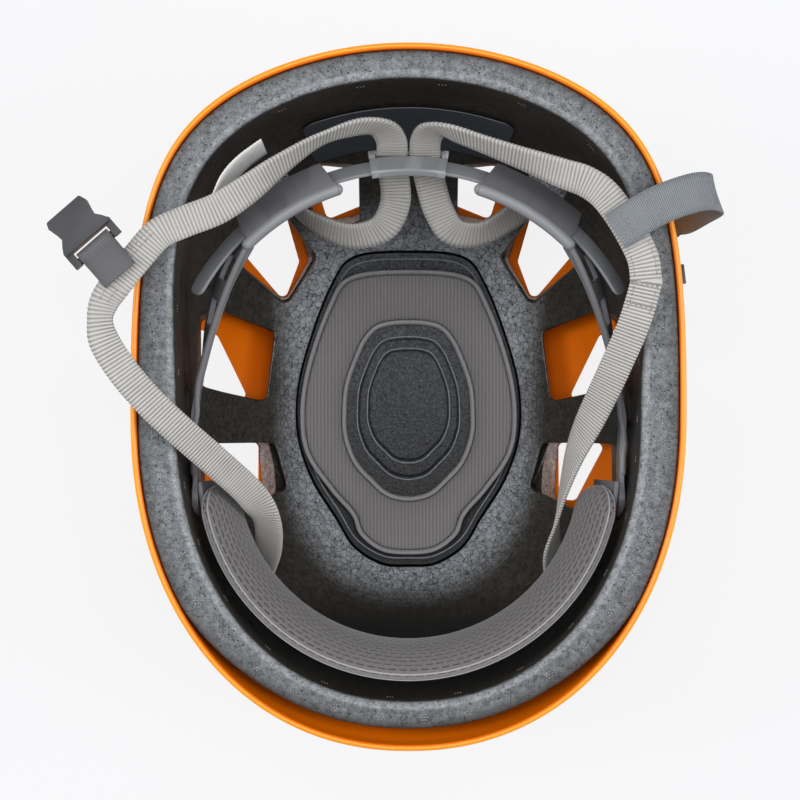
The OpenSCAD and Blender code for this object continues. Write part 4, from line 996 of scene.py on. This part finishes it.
routes = {
    "strap_front_left": [
        (-62.5, -62.5, 74.5, -0.7, 0.7, 0), (-59, -52.5, 90, -0.75, 0.6, 0.1),
        (-59, -41, 106, -0.8, 0.4, 0.25), (-65, -30, 120, -0.8, -0.4, 0.25),
        (-77, -17.5, 136, -0.75, -0.65, 0.1), (-89.5, -5.5, 150, -0.75, -0.65, 0),
        (-101, 6, 159, -0.75, -0.65, 0), (-111, 18, 165, -0.8, -0.6, 0),
        (-118.5, 30, 168, -0.85, -0.4, -0.2), (-120.5, 38.5, 168.5, -0.8, 0, -0.55),
        (-119, 46, 167.4, -0.85, 0.35, -0.35), (-115.5, 51.8, 166.6, -0.75, 0.6, -0.15),
        (-114.2, 53.4, 166.2, -0.75, 0.6, -0.15)],
    "strap_rear_left": [
        (-114.8, 52.8, 166.5, -0.75, 0.6, -0.15), (-106, 64, 165.5, -0.65, 0.75, -0.1),
        (-98, 73, 164, -0.5, 0.85, 0), (-88, 78, 162, -0.3, 0.95, 0), (-75, 83.5, 159, -0.35, 0.9, 0.2),
        (-62.5, 92, 156, -0.5, 0.65, 0.6), (-50.5, 101.5, 153, -0.4, 0.3, 0.85),
        (-35.5, 111.5, 149, -0.25, 0.1, 0.97), (-21, 117, 145, 0.2, 0.4, 0.9),
        (-11, 117.5, 139, 0.75, 0.3, 0.6), (-7, 113.5, 131, 1, 0, 0), (-6.8, 108.2, 124, 1, 0, 0)],
    "strap_nape_left": [
        (-6.8, 107.6, 123.3, -1, 0, 0), (-6, 101, 116, -1, 0.1, 0), (-5.5, 90, 108.5, -0.9, 0.4, 0.2),
        (-11, 80, 102, -0.55, 0.7, 0.45), (-24, 77, 98.5, 0, 0.75, 0.66), (-38, 82, 96, -0.3, 0.7, 0.66),
        (-50, 90.5, 92, -0.5, 0.55, 0.6), (-57.5, 97.5, 85, -0.8, -0.5, 0.2)],
    "strap_front_right": [
        (62.5, -62.5, 74.5, -0.7, -0.5, 0.5), (61, -54, 83, -0.55, -0.45, 0.7),
        (62.5, -41, 92, -0.15, -0.5, 0.85), (65, -27, 103, 0.1, -0.6, 0.8),
        (69, -12, 116, 0.4, -0.6, 0.6), (76, 5, 132, 0.75, -0.55, 0.25), (82.5, 21, 146, 0.88, -0.42, 0),
        (89, 38, 158, 0.93, -0.33, 0), (93, 53, 164.5, 0.95, 0, 0), (93.2, 55.5, 164.7, 0.95, 0.02, 0)],
    "strap_rear_right": [
        (93.1, 54.3, 165, 0.95, 0.05, 0), (91.5, 64, 166.5, 0.9, 0.35, 0), (85, 77, 165.5, 0.85, 0.5, 0),
        (77.5, 88, 162.5, 0.7, 0.7, 0.1), (70, 94, 159, 0.35, 0.9, 0.3), (61, 97.5, 156, 0.2, 0.85, 0.5),
        (47.5, 103, 152, 0.15, 0.6, 0.8), (32, 109, 149, 0.1, 0.4, 0.9),
        (18, 114.5, 145, -0.15, 0.4, 0.9), (10, 116.5, 139, -0.75, 0.3, 0.6), (7, 113.5, 131, -1, 0, 0),
        (6.8, 108.2, 124, -1, 0, 0)],
    "strap_nape_right": [
        (6.8, 107.6, 123.3, 1, 0, 0), (8.5, 100, 115.5, 1, 0.1, 0), (12.5, 87, 107.5, 0.9, 0.4, 0.2),
        (19, 78.5, 102, 0.6, 0.7, 0.45), (31, 78, 98.5, 0.1, 0.75, 0.66), (43, 85, 95.5, -0.3, 0.7, 0.66),
        (52, 92.5, 91, -0.5, 0.55, 0.6), (57.5, 97.5, 85, -0.8, 0.5, 0.2)]}
routes["chin_strap_right"] = [
    (80.5, 73.5, 168.5, -0.45, 0.85, 0), (96, 83, 170, -0.35, 0.92, 0), (110.5, 88.5, 168, -0.3, 0.95, 0),
    (118.5, 89.5, 164, -0.3, 0.95, 0), (121, 88, 158, -0.32, 0.94, 0), (116.5, 85.5, 147, -0.42, 0.88, 0),
    (110.5, 82.5, 131, -0.55, 0.8, 0),
    *[hang(-wrap, barHeight + up) for up in (46, 29, 12, 4)],
    *[hang(wrap * math.cos(q), barHeight + wrap * math.sin(q)) for q in np.radians(np.arange(180, 361, 30))],
    *[hang(wrap, barHeight + up) for up in (4, 12, 24)]]
# Left chin loop: out along its lower layer, round the buckle's bar and back over the top
loopPiece = {"spot": (-121.7, 67.2, 169), "turn": math.radians(131), "round": 2.55, "layer": 0.85,
             "length": 14}


def loopPoint(x, z):
    turn, spot = loopPiece["turn"], loopPiece["spot"]
    return [spot[0] + x * math.cos(turn), spot[1] + x * math.sin(turn), spot[2] + z, -math.sin(turn),
            math.cos(turn), 0]


length, layer, bend = (loopPiece[key] for key in ("length", "layer", "round"))
routes["chin_loop_left"] = [
    loopPoint(-length, -layer), loopPoint(-8, -layer), loopPoint(-4, -1.4),
    *[loopPoint(bend * math.cos(q), bend * math.sin(q)) for q in np.radians(np.arange(-105, 106, 30))],
    loopPoint(-4, 1.4), loopPoint(-8, layer), loopPoint(-length, layer)]
chinFinishes = {"chin_strap_right": (slateWebbing, "dark_webbing"),
                "chin_loop_left": (darkWebbing, "dark_webbing")}
# Straps tied to the cradle, and the chin strap at the tongue, are listed with two bodies and two points, and
# fixed in place as they stand
strapBends = {
    "strap_rear_left": ("helmet", "cradle", (-0.090, 0.077, 0.162), (-0.011, 0.1175, 0.137)),
    "strap_nape_left": ("helmet", "cradle", (-0.052, 0.092, 0.090), (-0.0065, 0.104, 0.120)),
    "strap_rear_right": ("helmet", "cradle", (0.080, 0.086, 0.164), (0.010, 0.1165, 0.137)),
    "strap_nape_right": ("helmet", "cradle", (0.053, 0.093, 0.090), (0.007, 0.104, 0.120)),
    "chin_strap_right": ("helmet", "tongue", (0.1105, 0.0825, 0.131), (0.106, 0.083, 0.112))}
for node, route in routes.items():
    chin = node.startswith("chin")
    rib = webbing["fineRib" if chin else "rib"]
    strap = ribbon(camel(node), route, webbing["chin" if chin else "width"], webbing["thick"], rib)
    finish, slot = chinFinishes.get(node, (greyWebbing, "grey_webbing"))
    dress(strap, finish, strapBends.get(node, "helmet"), slot, node)
    print(strap.name, round(float(strapFrames[strap.name][0][-1]), 1), "mm long")


# Moulded plastic: fine spark-eroded grain, satin, slightly lighter on convex edges
def mouldedPlastic(name, colour, paleEdge, roughness, grain=0.5):
    finish, tree, shader = newFinish(name, colour, roughness, {"IOR": 1.5})
    place = inPlace(tree)
    texture = noise(tree, place, grain, 2.0)
    cloud = noise(tree, place, 14, 3.0)
    shape = put(tree, "ShaderNodeNewGeometry")
    edges = spread(tree, shape.outputs["Pointiness"], 0.5, 0.62, 0, 0.6)
    both = calc(tree, "MULTIPLY_ADD", cloud, 0.25, edges, clamp=True)
    feed(tree, shader, "Base Color", toned(tree, both, colour, paleEdge))
    feed(tree, shader, "Roughness", spread(tree, texture, 0, 1, roughness - 0.06, roughness + 0.08))
    emboss(tree, shader, texture, 0.12, 0.1)
    return finish


greyNylon = mouldedPlastic("injection moulded nylon, slate grey", "#5d5e63", "#7b7c80", 0.42)
lightNylon = mouldedPlastic("injection moulded nylon, pale grey", "#7b7d82", "#9c9ea2", 0.40)
anchorNylon = mouldedPlastic("injection moulded nylon, charcoal", "#3a3b3e", "#55565a", 0.46)
acetal = mouldedPlastic("injection moulded acetal, dark grey", "#242528", "#3f4044", 0.44)
sliderNylon = mouldedPlastic("injection moulded nylon, mid grey", "#6a6a6e", "#8a8a8e", 0.38)
clipNylon = mouldedPlastic("injection moulded nylon, black", "#2e2f32", "#48494c", 0.46)
hookFinish = mouldedPlastic("moulded hook tape, black", "#1d1d1f", "#323235", 0.7, 0.9)


def bevelled(node, width, ends=None, degrees=32):
    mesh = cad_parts[node].data.copy()
    mesh.name = camel(node)
    piece = bpy.data.objects.new(camel(node), mesh)
    scene.collection.objects.link(piece)
    net = bmesh.new()
    net.from_mesh(mesh)
    bmesh.ops.remove_doubles(net, verts=net.verts, dist=2e-6)
    bmesh.ops.dissolve_limit(net, angle_limit=math.radians(0.6), verts=net.verts, edges=net.edges)
    if ends:   # the short corner edges at a strip's ends are rounded off
        short = [e for e in net.edges if e.calc_length() < ends[0] * mm and e.calc_face_angle(0) > 1]
        bmesh.ops.bevel(net, geom=short, offset=ends[1] * mm, segments=8, affect="EDGES", profile=0.5,
                        clamp_overlap=True)
    net.to_mesh(mesh)
    net.free()
    edge = piece.modifiers.new("edge", "BEVEL")
    edge.width = width * mm
    edge.segments = 3
    edge.limit_method = "ANGLE"
    edge.angle_limit = math.radians(degrees)
    edge.use_clamp_overlap = True
    settle(piece)
    piece.data.polygons.foreach_set("use_smooth", [True] * len(piece.data.polygons))
    soften(piece, 30)
    return piece


sides = {"left": -1, "right": 1}
corners = ("front_left", "front_right", "rear_left", "rear_right")
# Finish, body, slot, width of the rounded edges in mm, nodes
plastics = [
    (greyNylon, "helmet", "grey_plastic", 0.4, ("front_band", "pivot_pin_left", "pivot_pin_right")),
    (lightNylon, "cradle", "light_plastic", 0.35, ("nape_band",)),
    (lightNylon, "cradle", "light_plastic", 0.4, ("nape_guide",)),
    (sliderNylon, "left_slider", "grey_plastic", 1.1, ("slider_left",)),
    (sliderNylon, "right_slider", "grey_plastic", 1.1, ("slider_right",)),
    (anchorNylon, "helmet", "anchor_plastic", 0.7, ["anchor_" + corner for corner in corners]),
    (acetal, "socket", "buckle_plastic", 0.9, ("socket_buckle",)),
    (acetal, "tongue", "buckle_plastic", 0.6, ("tongue_buckle",)),
    (acetal, "front_prong", "buckle_plastic", 0.6, ("tongue_prong_front",)),
    (acetal, "rear_prong", "buckle_plastic", 0.6, ("tongue_prong_rear",)),
    (acetal, "keeper", "buckle_plastic", 0.5, ("strap_keeper",)),
    (clipNylon, "helmet", "clip_plastic", 0.7, ["lamp_clip_" + corner for corner in corners]),
    (hookFinish, "helmet", "hook_tape", 0.15, ("forehead_hook_strip",)),
    (hookFinish, "helmet", "hook_tape", 0.2, ("crown_pad_hooks",)),
]
# Corner edges shorter than the first number are rounded off with the second as radius, in mm
roundedTails = {"nape_band": (1.8, 3.6)}
for finish, body, slot, width, nodes in plastics:
    for node in nodes:
        dress(bevelled(node, width, roundedTails.get(node)), finish, body, slot, node)


def armBend(side):
    sign = sides[side]
    return ("cradle", side + "_slider", (0.088 * sign, 0.005, 0.113), (0.067 * sign, 0.072, 0.129))


for side in sides:
    dress(bevelled("arm_" + side, 0.35), greyNylon, armBend(side), "grey_plastic", "arm_" + side)
print("plastics done")


# Bare film label: polyester film with a slight satin gloss, blue-grey
film, tree, shader = newFinish("printed polyester film, bare", "#3b4048", 0.35, {"IOR": 1.5})
place = inPlace(tree)
cloud = noise(tree, place, 6, 4.0)
feed(tree, shader, "Base Color", toned(tree, cloud, "#343941", "#454b54"))
feed(tree, shader, "Roughness", spread(tree, cloud, 0, 1, 0.28, 0.45))

labelPiece = {"half": 20, "foot": 78, "head": 108, "stand": 0.6, "thick": 0.4, "corner": 3.0, "reach": 120}
rows = []
tall, corner = labelPiece["head"] - labelPiece["foot"], labelPiece["corner"]
for out in (labelPiece["stand"] + labelPiece["thick"], labelPiece["stand"]):
    grid = []
    for height in np.linspace(0, 1, 16):
        z = labelPiece["foot"] + tall * height
        near = min(height, 1 - height) * tall
        short = corner - math.sqrt(max(0, corner ** 2 - max(0, corner - near) ** 2))
        half = math.radians(labelPiece["half"]) - short / labelPiece["reach"]
        q = np.linspace(np.pi / 2 - half, np.pi / 2 + half, 60)
        grid.append(ring(q, innerWall(q, z) - out, z))
    rows.append(np.array(grid))
front, back = rows
points = np.concatenate([front.reshape(-1, 3), back.reshape(-1, 3)])
high, wide = front.shape[:2]
faces = gridFaces(high, wide) + [f[::-1] for f in gridFaces(high, wide, start=high * wide)]
border = [*range(wide), *(i * wide + wide - 1 for i in range(1, high)),
          *((high - 1) * wide + j for j in range(wide - 2, -1, -1)),
          *(i * wide for i in range(high - 2, 0, -1))]
for k, p in enumerate(border):
    q = border[(k + 1) % len(border)]
    faces.append((p, q, q + high * wide, p + high * wide))
label = outward(makePiece("rearLabel", points, faces))
soften(label, 40)
dress(label, film, "helmet", "label_film", "rear_label")

# Woven tag, bare: white polyester taffeta sewn under the strap
taffeta, tree, shader = newFinish("woven polyester taffeta tag, bare", "#e4e4e3", 0.7, {"Sheen Weight": 0.2})
laid = laidFlat(tree)
weft = bands(tree, laid, "Y", 0.4)
cloud = noise(tree, laid, 4, 3.0)
blend = calc(tree, "MULTIPLY_ADD", weft, 0.4, cloud)
feed(tree, shader, "Base Color", toned(tree, blend, "#cfcfcf", "#efefee"))
emboss(tree, shader, weft, 0.25, 0.1)
tagPiece = {"width": 14, "thick": 0.5, "across": (-0.25, 0.2, 0.95),
            "spots": [(-75.5, 87.5, 152.6), (-72, 95.5, 151.5), (-66, 102.5, 150.5), (-57.5, 109, 149.5)]}
tagRoute = [spot + tagPiece["across"] for spot in tagPiece["spots"]]
tag = ribbon("strapTag", tagRoute, tagPiece["width"], tagPiece["thick"])
dress(tag, taffeta, "helmet", "tag_cloth", "strap_tag")
print("labels done")


# Small repeats: each short segment becomes one capsule lying along it
def scatter(name, segments, thickness, finish):
    lines = bpy.data.meshes.new(name + "Lines")
    ends = np.array(segments, float).reshape(-1, 3) * mm
    lines.from_pydata(ends.tolist(), [(2 * k, 2 * k + 1) for k in range(len(segments))], [])
    base = bpy.data.objects.new(name + "Lines", lines)
    scene.collection.objects.link(base)
    tree = bpy.data.node_groups.new(name + "Nodes", "GeometryNodeTree")
    tree.interface.new_socket("Geometry", in_out="INPUT", socket_type="NodeSocketGeometry")
    thick = tree.interface.new_socket("Thickness", in_out="INPUT", socket_type="NodeSocketFloat")
    tree.interface.new_socket("Geometry", in_out="OUTPUT", socket_type="NodeSocketGeometry")
    source = put(tree, "NodeGroupInput")
    both = put(tree, "GeometryNodeInputMeshEdgeVertices")
    way = put(tree, "ShaderNodeVectorMath", {"operation": "SUBTRACT", 0: both.outputs["Position 2"],
                                             1: both.outputs["Position 1"]})
    held = put(tree, "GeometryNodeStoreNamedAttribute",
               {"data_type": "FLOAT_VECTOR", "domain": "EDGE", "Name": "way",
                "Geometry": source.outputs["Geometry"], "Value": way.outputs[0]})
    spots = put(tree, "GeometryNodeMeshToPoints", {"mode": "EDGES", "Mesh": held.outputs["Geometry"]})
    named = put(tree, "GeometryNodeInputNamedAttribute", {"data_type": "FLOAT_VECTOR", "Name": "way"})
    turn = put(tree, "FunctionNodeAlignRotationToVector", {"axis": "X", "Vector": named.outputs["Attribute"]})
    long = put(tree, "ShaderNodeVectorMath", {"operation": "LENGTH", 0: named.outputs["Attribute"]})
    scale = put(tree, "ShaderNodeCombineXYZ", {0: long.outputs["Value"], 1: source.outputs["Thickness"],
                                               2: source.outputs["Thickness"]})
    bean = put(tree, "GeometryNodeMeshUVSphere", {"Segments": 8, "Rings": 6, "Radius": 0.5})
    copies = put(tree, "GeometryNodeInstanceOnPoints",
                 {"Points": spots.outputs[0], "Instance": bean.outputs["Mesh"], "Rotation": turn.outputs[0],
                  "Scale": scale.outputs[0]})
    real = put(tree, "GeometryNodeRealizeInstances", {0: copies.outputs[0]})
    coat = put(tree, "GeometryNodeSetMaterial", {"Material": finish, "Geometry": real.outputs[0]})
    put(tree, "NodeGroupOutput", {0: coat.outputs[0]})
    grow = base.modifiers.new("repeat", "NODES")
    grow.node_group = tree
    grow[thick.identifier] = thickness * mm
    mesh = bpy.data.meshes.new_from_object(base.evaluated_get(bpy.context.evaluated_depsgraph_get()))
    mesh.name = name
    mesh.polygons.foreach_set("use_smooth", [True] * len(mesh.polygons))
    bpy.data.objects.remove(base)
    piece = bpy.data.objects.new(name, mesh)
    scene.collection.objects.link(piece)
    return piece


# Polyester thread: a little paler than the webbing, with a twist that breaks up its shine
threadFinish = speckled("bonded polyester thread", 0.4, 2.0, ("#5f5e5e", "#a7a6a3"), None, "#8d8c8a", 0.55,
                        {"Sheen Weight": 0.2})


def onStrap(name, run, share):
    at, spots, ways, up, width, thick = strapFrames[name]
    k = int(np.searchsorted(at, run % at[-1]))
    top = up[k] if up[k][2] > 0 else -up[k]
    return spots[k] + ways[k] * share * width / 2 + top * thick * 0.55


sewing = {"stitch": 2.0, "gap": 0.7, "zigzag": 1.5, "thread": 0.42,
          "lengthwise": [("strapRearLeft", 1, 27, 0.6), ("strapRearLeft", 1, 27, 0.25),
                         ("strapFrontLeft", -9, -0.5, 0.3), ("strapFrontLeft", -9, -0.5, -0.3),
                         ("strapRearRight", 2, 15, 0.7), ("strapRearRight", 2, 15, -0.7),
                         ("strapFrontRight", -14, -1, 0.7), ("strapFrontRight", -14, -1, -0.7)],
          "crosswise": [("chinStrapRight", run) for run in (2.5, 5.5, 15.5, 18.5)]
          + [("strapFrontRight", -3), ("strapFrontRight", -12)]}
stitches = []
for name, start, stop, share in sewing["lengthwise"]:
    for run in np.arange(start, stop - sewing["stitch"], sewing["stitch"] + sewing["gap"]):
        stitches.append((onStrap(name, run, share), onStrap(name, run + sewing["stitch"], share)))
for name, run in sewing["crosswise"]:
    shares = np.linspace(-0.9, 0.9, 12)
    steps = [onStrap(name, run + sewing["zigzag"] * (k % 2), c) for k, c in enumerate(shares)]
    stitches += list(zip(steps[:-1], steps[1:]))
dress(scatter("strapStitches", stitches, sewing["thread"], threadFinish), threadFinish, "helmet",
      "grey_webbing")

# Steam-vent marks left by the mould: clusters of seven pips round the rim, three strokes on the walls
pipFinish = speckled("moulded polystyrene pips", 0.9, 1.0, ("#55524f", "#c9c6c1"), None, "#a9a6a2", 0.5)
pips = {"spacing": 18, "ring": 1.3, "size": 0.5, "stroke": 2.2, "apart": 1.0,
        "rows": ((0.965, range(0, 360, 14)), (0.8, (-118, -104, -90, -76, -62)))}
a = fullTurn(720)
middle = ring(a, (reach(a) - lining["skin"] - flare(a) + reach(a) - liningInset(a)) / 2 + 1,
              rimHeight(a) - lining["drop"])
run = runAlong(middle)
marks = []
for far in np.arange(0, run[-1], pips["spacing"]):
    k = int(np.searchsorted(run, far))
    along = unit(middle[(k + 1) % len(a)] - middle[k])
    side = np.cross(along, (0, 0, 1))
    for q in [None] + list(np.radians(range(0, 360, 60))):
        dot = middle[k]
        if q is not None:
            dot = dot + pips["ring"] * (along * math.cos(q) + side * math.sin(q))
        marks.append((dot - along * pips["size"] / 2, dot + along * pips["size"] / 2))


def wallPoint(angle, t):
    q = np.array([angle])
    top = rimHeight(q) - lining["drop"] - linerPiece["innerLip"]
    z = lining["crown"] + (top - lining["crown"]) * upShare(t, lining["fullness"])
    return ring(q, (reach(q) - liningInset(q)) * outShare(t, lining["fullness"]), z)[0]


for t, angles in pips["rows"]:
    for angle in np.radians(angles):
        for k in (-1, 0, 1):
            turn = k * pips["apart"] / 100
            foot, head = wallPoint(angle + turn, t - 0.012), wallPoint(angle + turn + 0.008, t + 0.012)
            way = unit(head - foot) * pips["stroke"] / 2
            marks.append(((foot + head) / 2 - way, (foot + head) / 2 + way))
dress(scatter("mouldPips", marks, pips["size"], pipFinish), pipFinish, "helmet", "grey_foam")


# Rails: the rounded upper edges of the sliders and of the cradle's arms, as paler nylon tubes: painted
# highlight along the edges
def tube(name, spots, radius, sides=12):
    spots = np.asarray(spots, float)
    along = unit(np.gradient(spots, axis=0))
    side = unit(np.cross(along, (0, 0, 1)))
    rise = np.cross(side, along)
    caps = [(0, -math.cos(q), math.sin(q)) for q in (0.2, 0.6, 1.1)]
    stops = caps + [(k, 0, 1) for k in range(len(spots))] + [(-1, -c, s) for _, c, s in caps[::-1]]
    rings = [[spots[k] + along[k] * push * radius
              + share * radius * (side[k] * math.cos(q) + rise[k] * math.sin(q)) for q in fullTurn(sides)]
             for k, push, share in stops]
    return outward(makePiece(name, *loft(rings)))


def topEdge(node, places):
    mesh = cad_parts[node].data
    corners = np.array([v.co[:] for v in mesh.vertices]) / mm
    first, last = corners[[e.vertices[0] for e in mesh.edges]], corners[[e.vertices[1] for e in mesh.edges]]
    line = []
    for y in places:
        crossing = (first[:, 1] - y) * (last[:, 1] - y) < 0
        p, q = first[crossing], last[crossing]
        cut = p + (q - p) * ((y - p[:, 1]) / (q[:, 1] - p[:, 1]))[:, None]
        line.append(cut[cut[:, 2].argmax()])
    return np.array(line)


rail = {"centre": 5, "reach": 92.3, "height": 138.6, "from": 45.5, "to": 71.8, "steps": 24, "radius": 2.5}
armRail = {"radius": 1.35, "sink": 0.9, "from": -24, "to": 68, "steps": 40, "joinFrom": 35, "joinOver": 33,
           "joinDrop": 0.8}
for side, sign in sides.items():
    q = np.radians(np.linspace(rail["from"], rail["to"], rail["steps"]))
    line = np.column_stack([sign * rail["reach"] * np.cos(q), rail["centre"] + rail["reach"] * np.sin(q),
                            np.full(rail["steps"], rail["height"])])
    dress(tube("sliderRail" + side.title(), line, rail["radius"]), lightNylon, side + "_slider",
          "grey_plastic")
    places = np.linspace(armRail["from"], armRail["to"], armRail["steps"])
    edge = topEdge("arm_" + side, places) - (0, 0, armRail["sink"])
    smooth = np.array([edge[max(0, k - 2):k + 3].mean(0) for k in range(len(edge))])
    # It runs into the slider's rail
    join = ease((smooth[:, 1:2] - armRail["joinFrom"]) / armRail["joinOver"])
    smooth += join * (line[0] - (0, 0, armRail["joinDrop"]) - smooth[-1])
    dress(tube("armRail" + side.title(), smooth, armRail["radius"]), sliderNylon, armBend(side),
          "grey_plastic")

# Fine ridges pressed into the crown insert, in a paler foam as painted highlight along them
ridgeHighlight = speckled("moulded polystyrene, rubbed ridge", 0.8, 2.0, ("#4b4f55", "#a4a9b0"), None, "#8b9097",
                     0.45)
ridgeWidth, ridgeHeight = 0.55, 0.35
ridges = (("crownRidgeOuter", about(insertLine, crownLines["middle"], 0.962), rise),
          ("crownRidgeMiddle", about(stepOne, insertPiece["stepCentre"], 1.05), rise),
          ("crownRidgeInner", about(stepTwo, insertPiece["stepCentre"], 1.06), rise - step))
for name, line, low in ridges:
    rows = bead(line, flatNormals(line), ridgeWidth, ridgeHeight, low, onLiner)
    dress(outward(makePiece(name, *loft(rows, looped=True))), ridgeHighlight, "helmet", "dark_foam")
print("small details done")
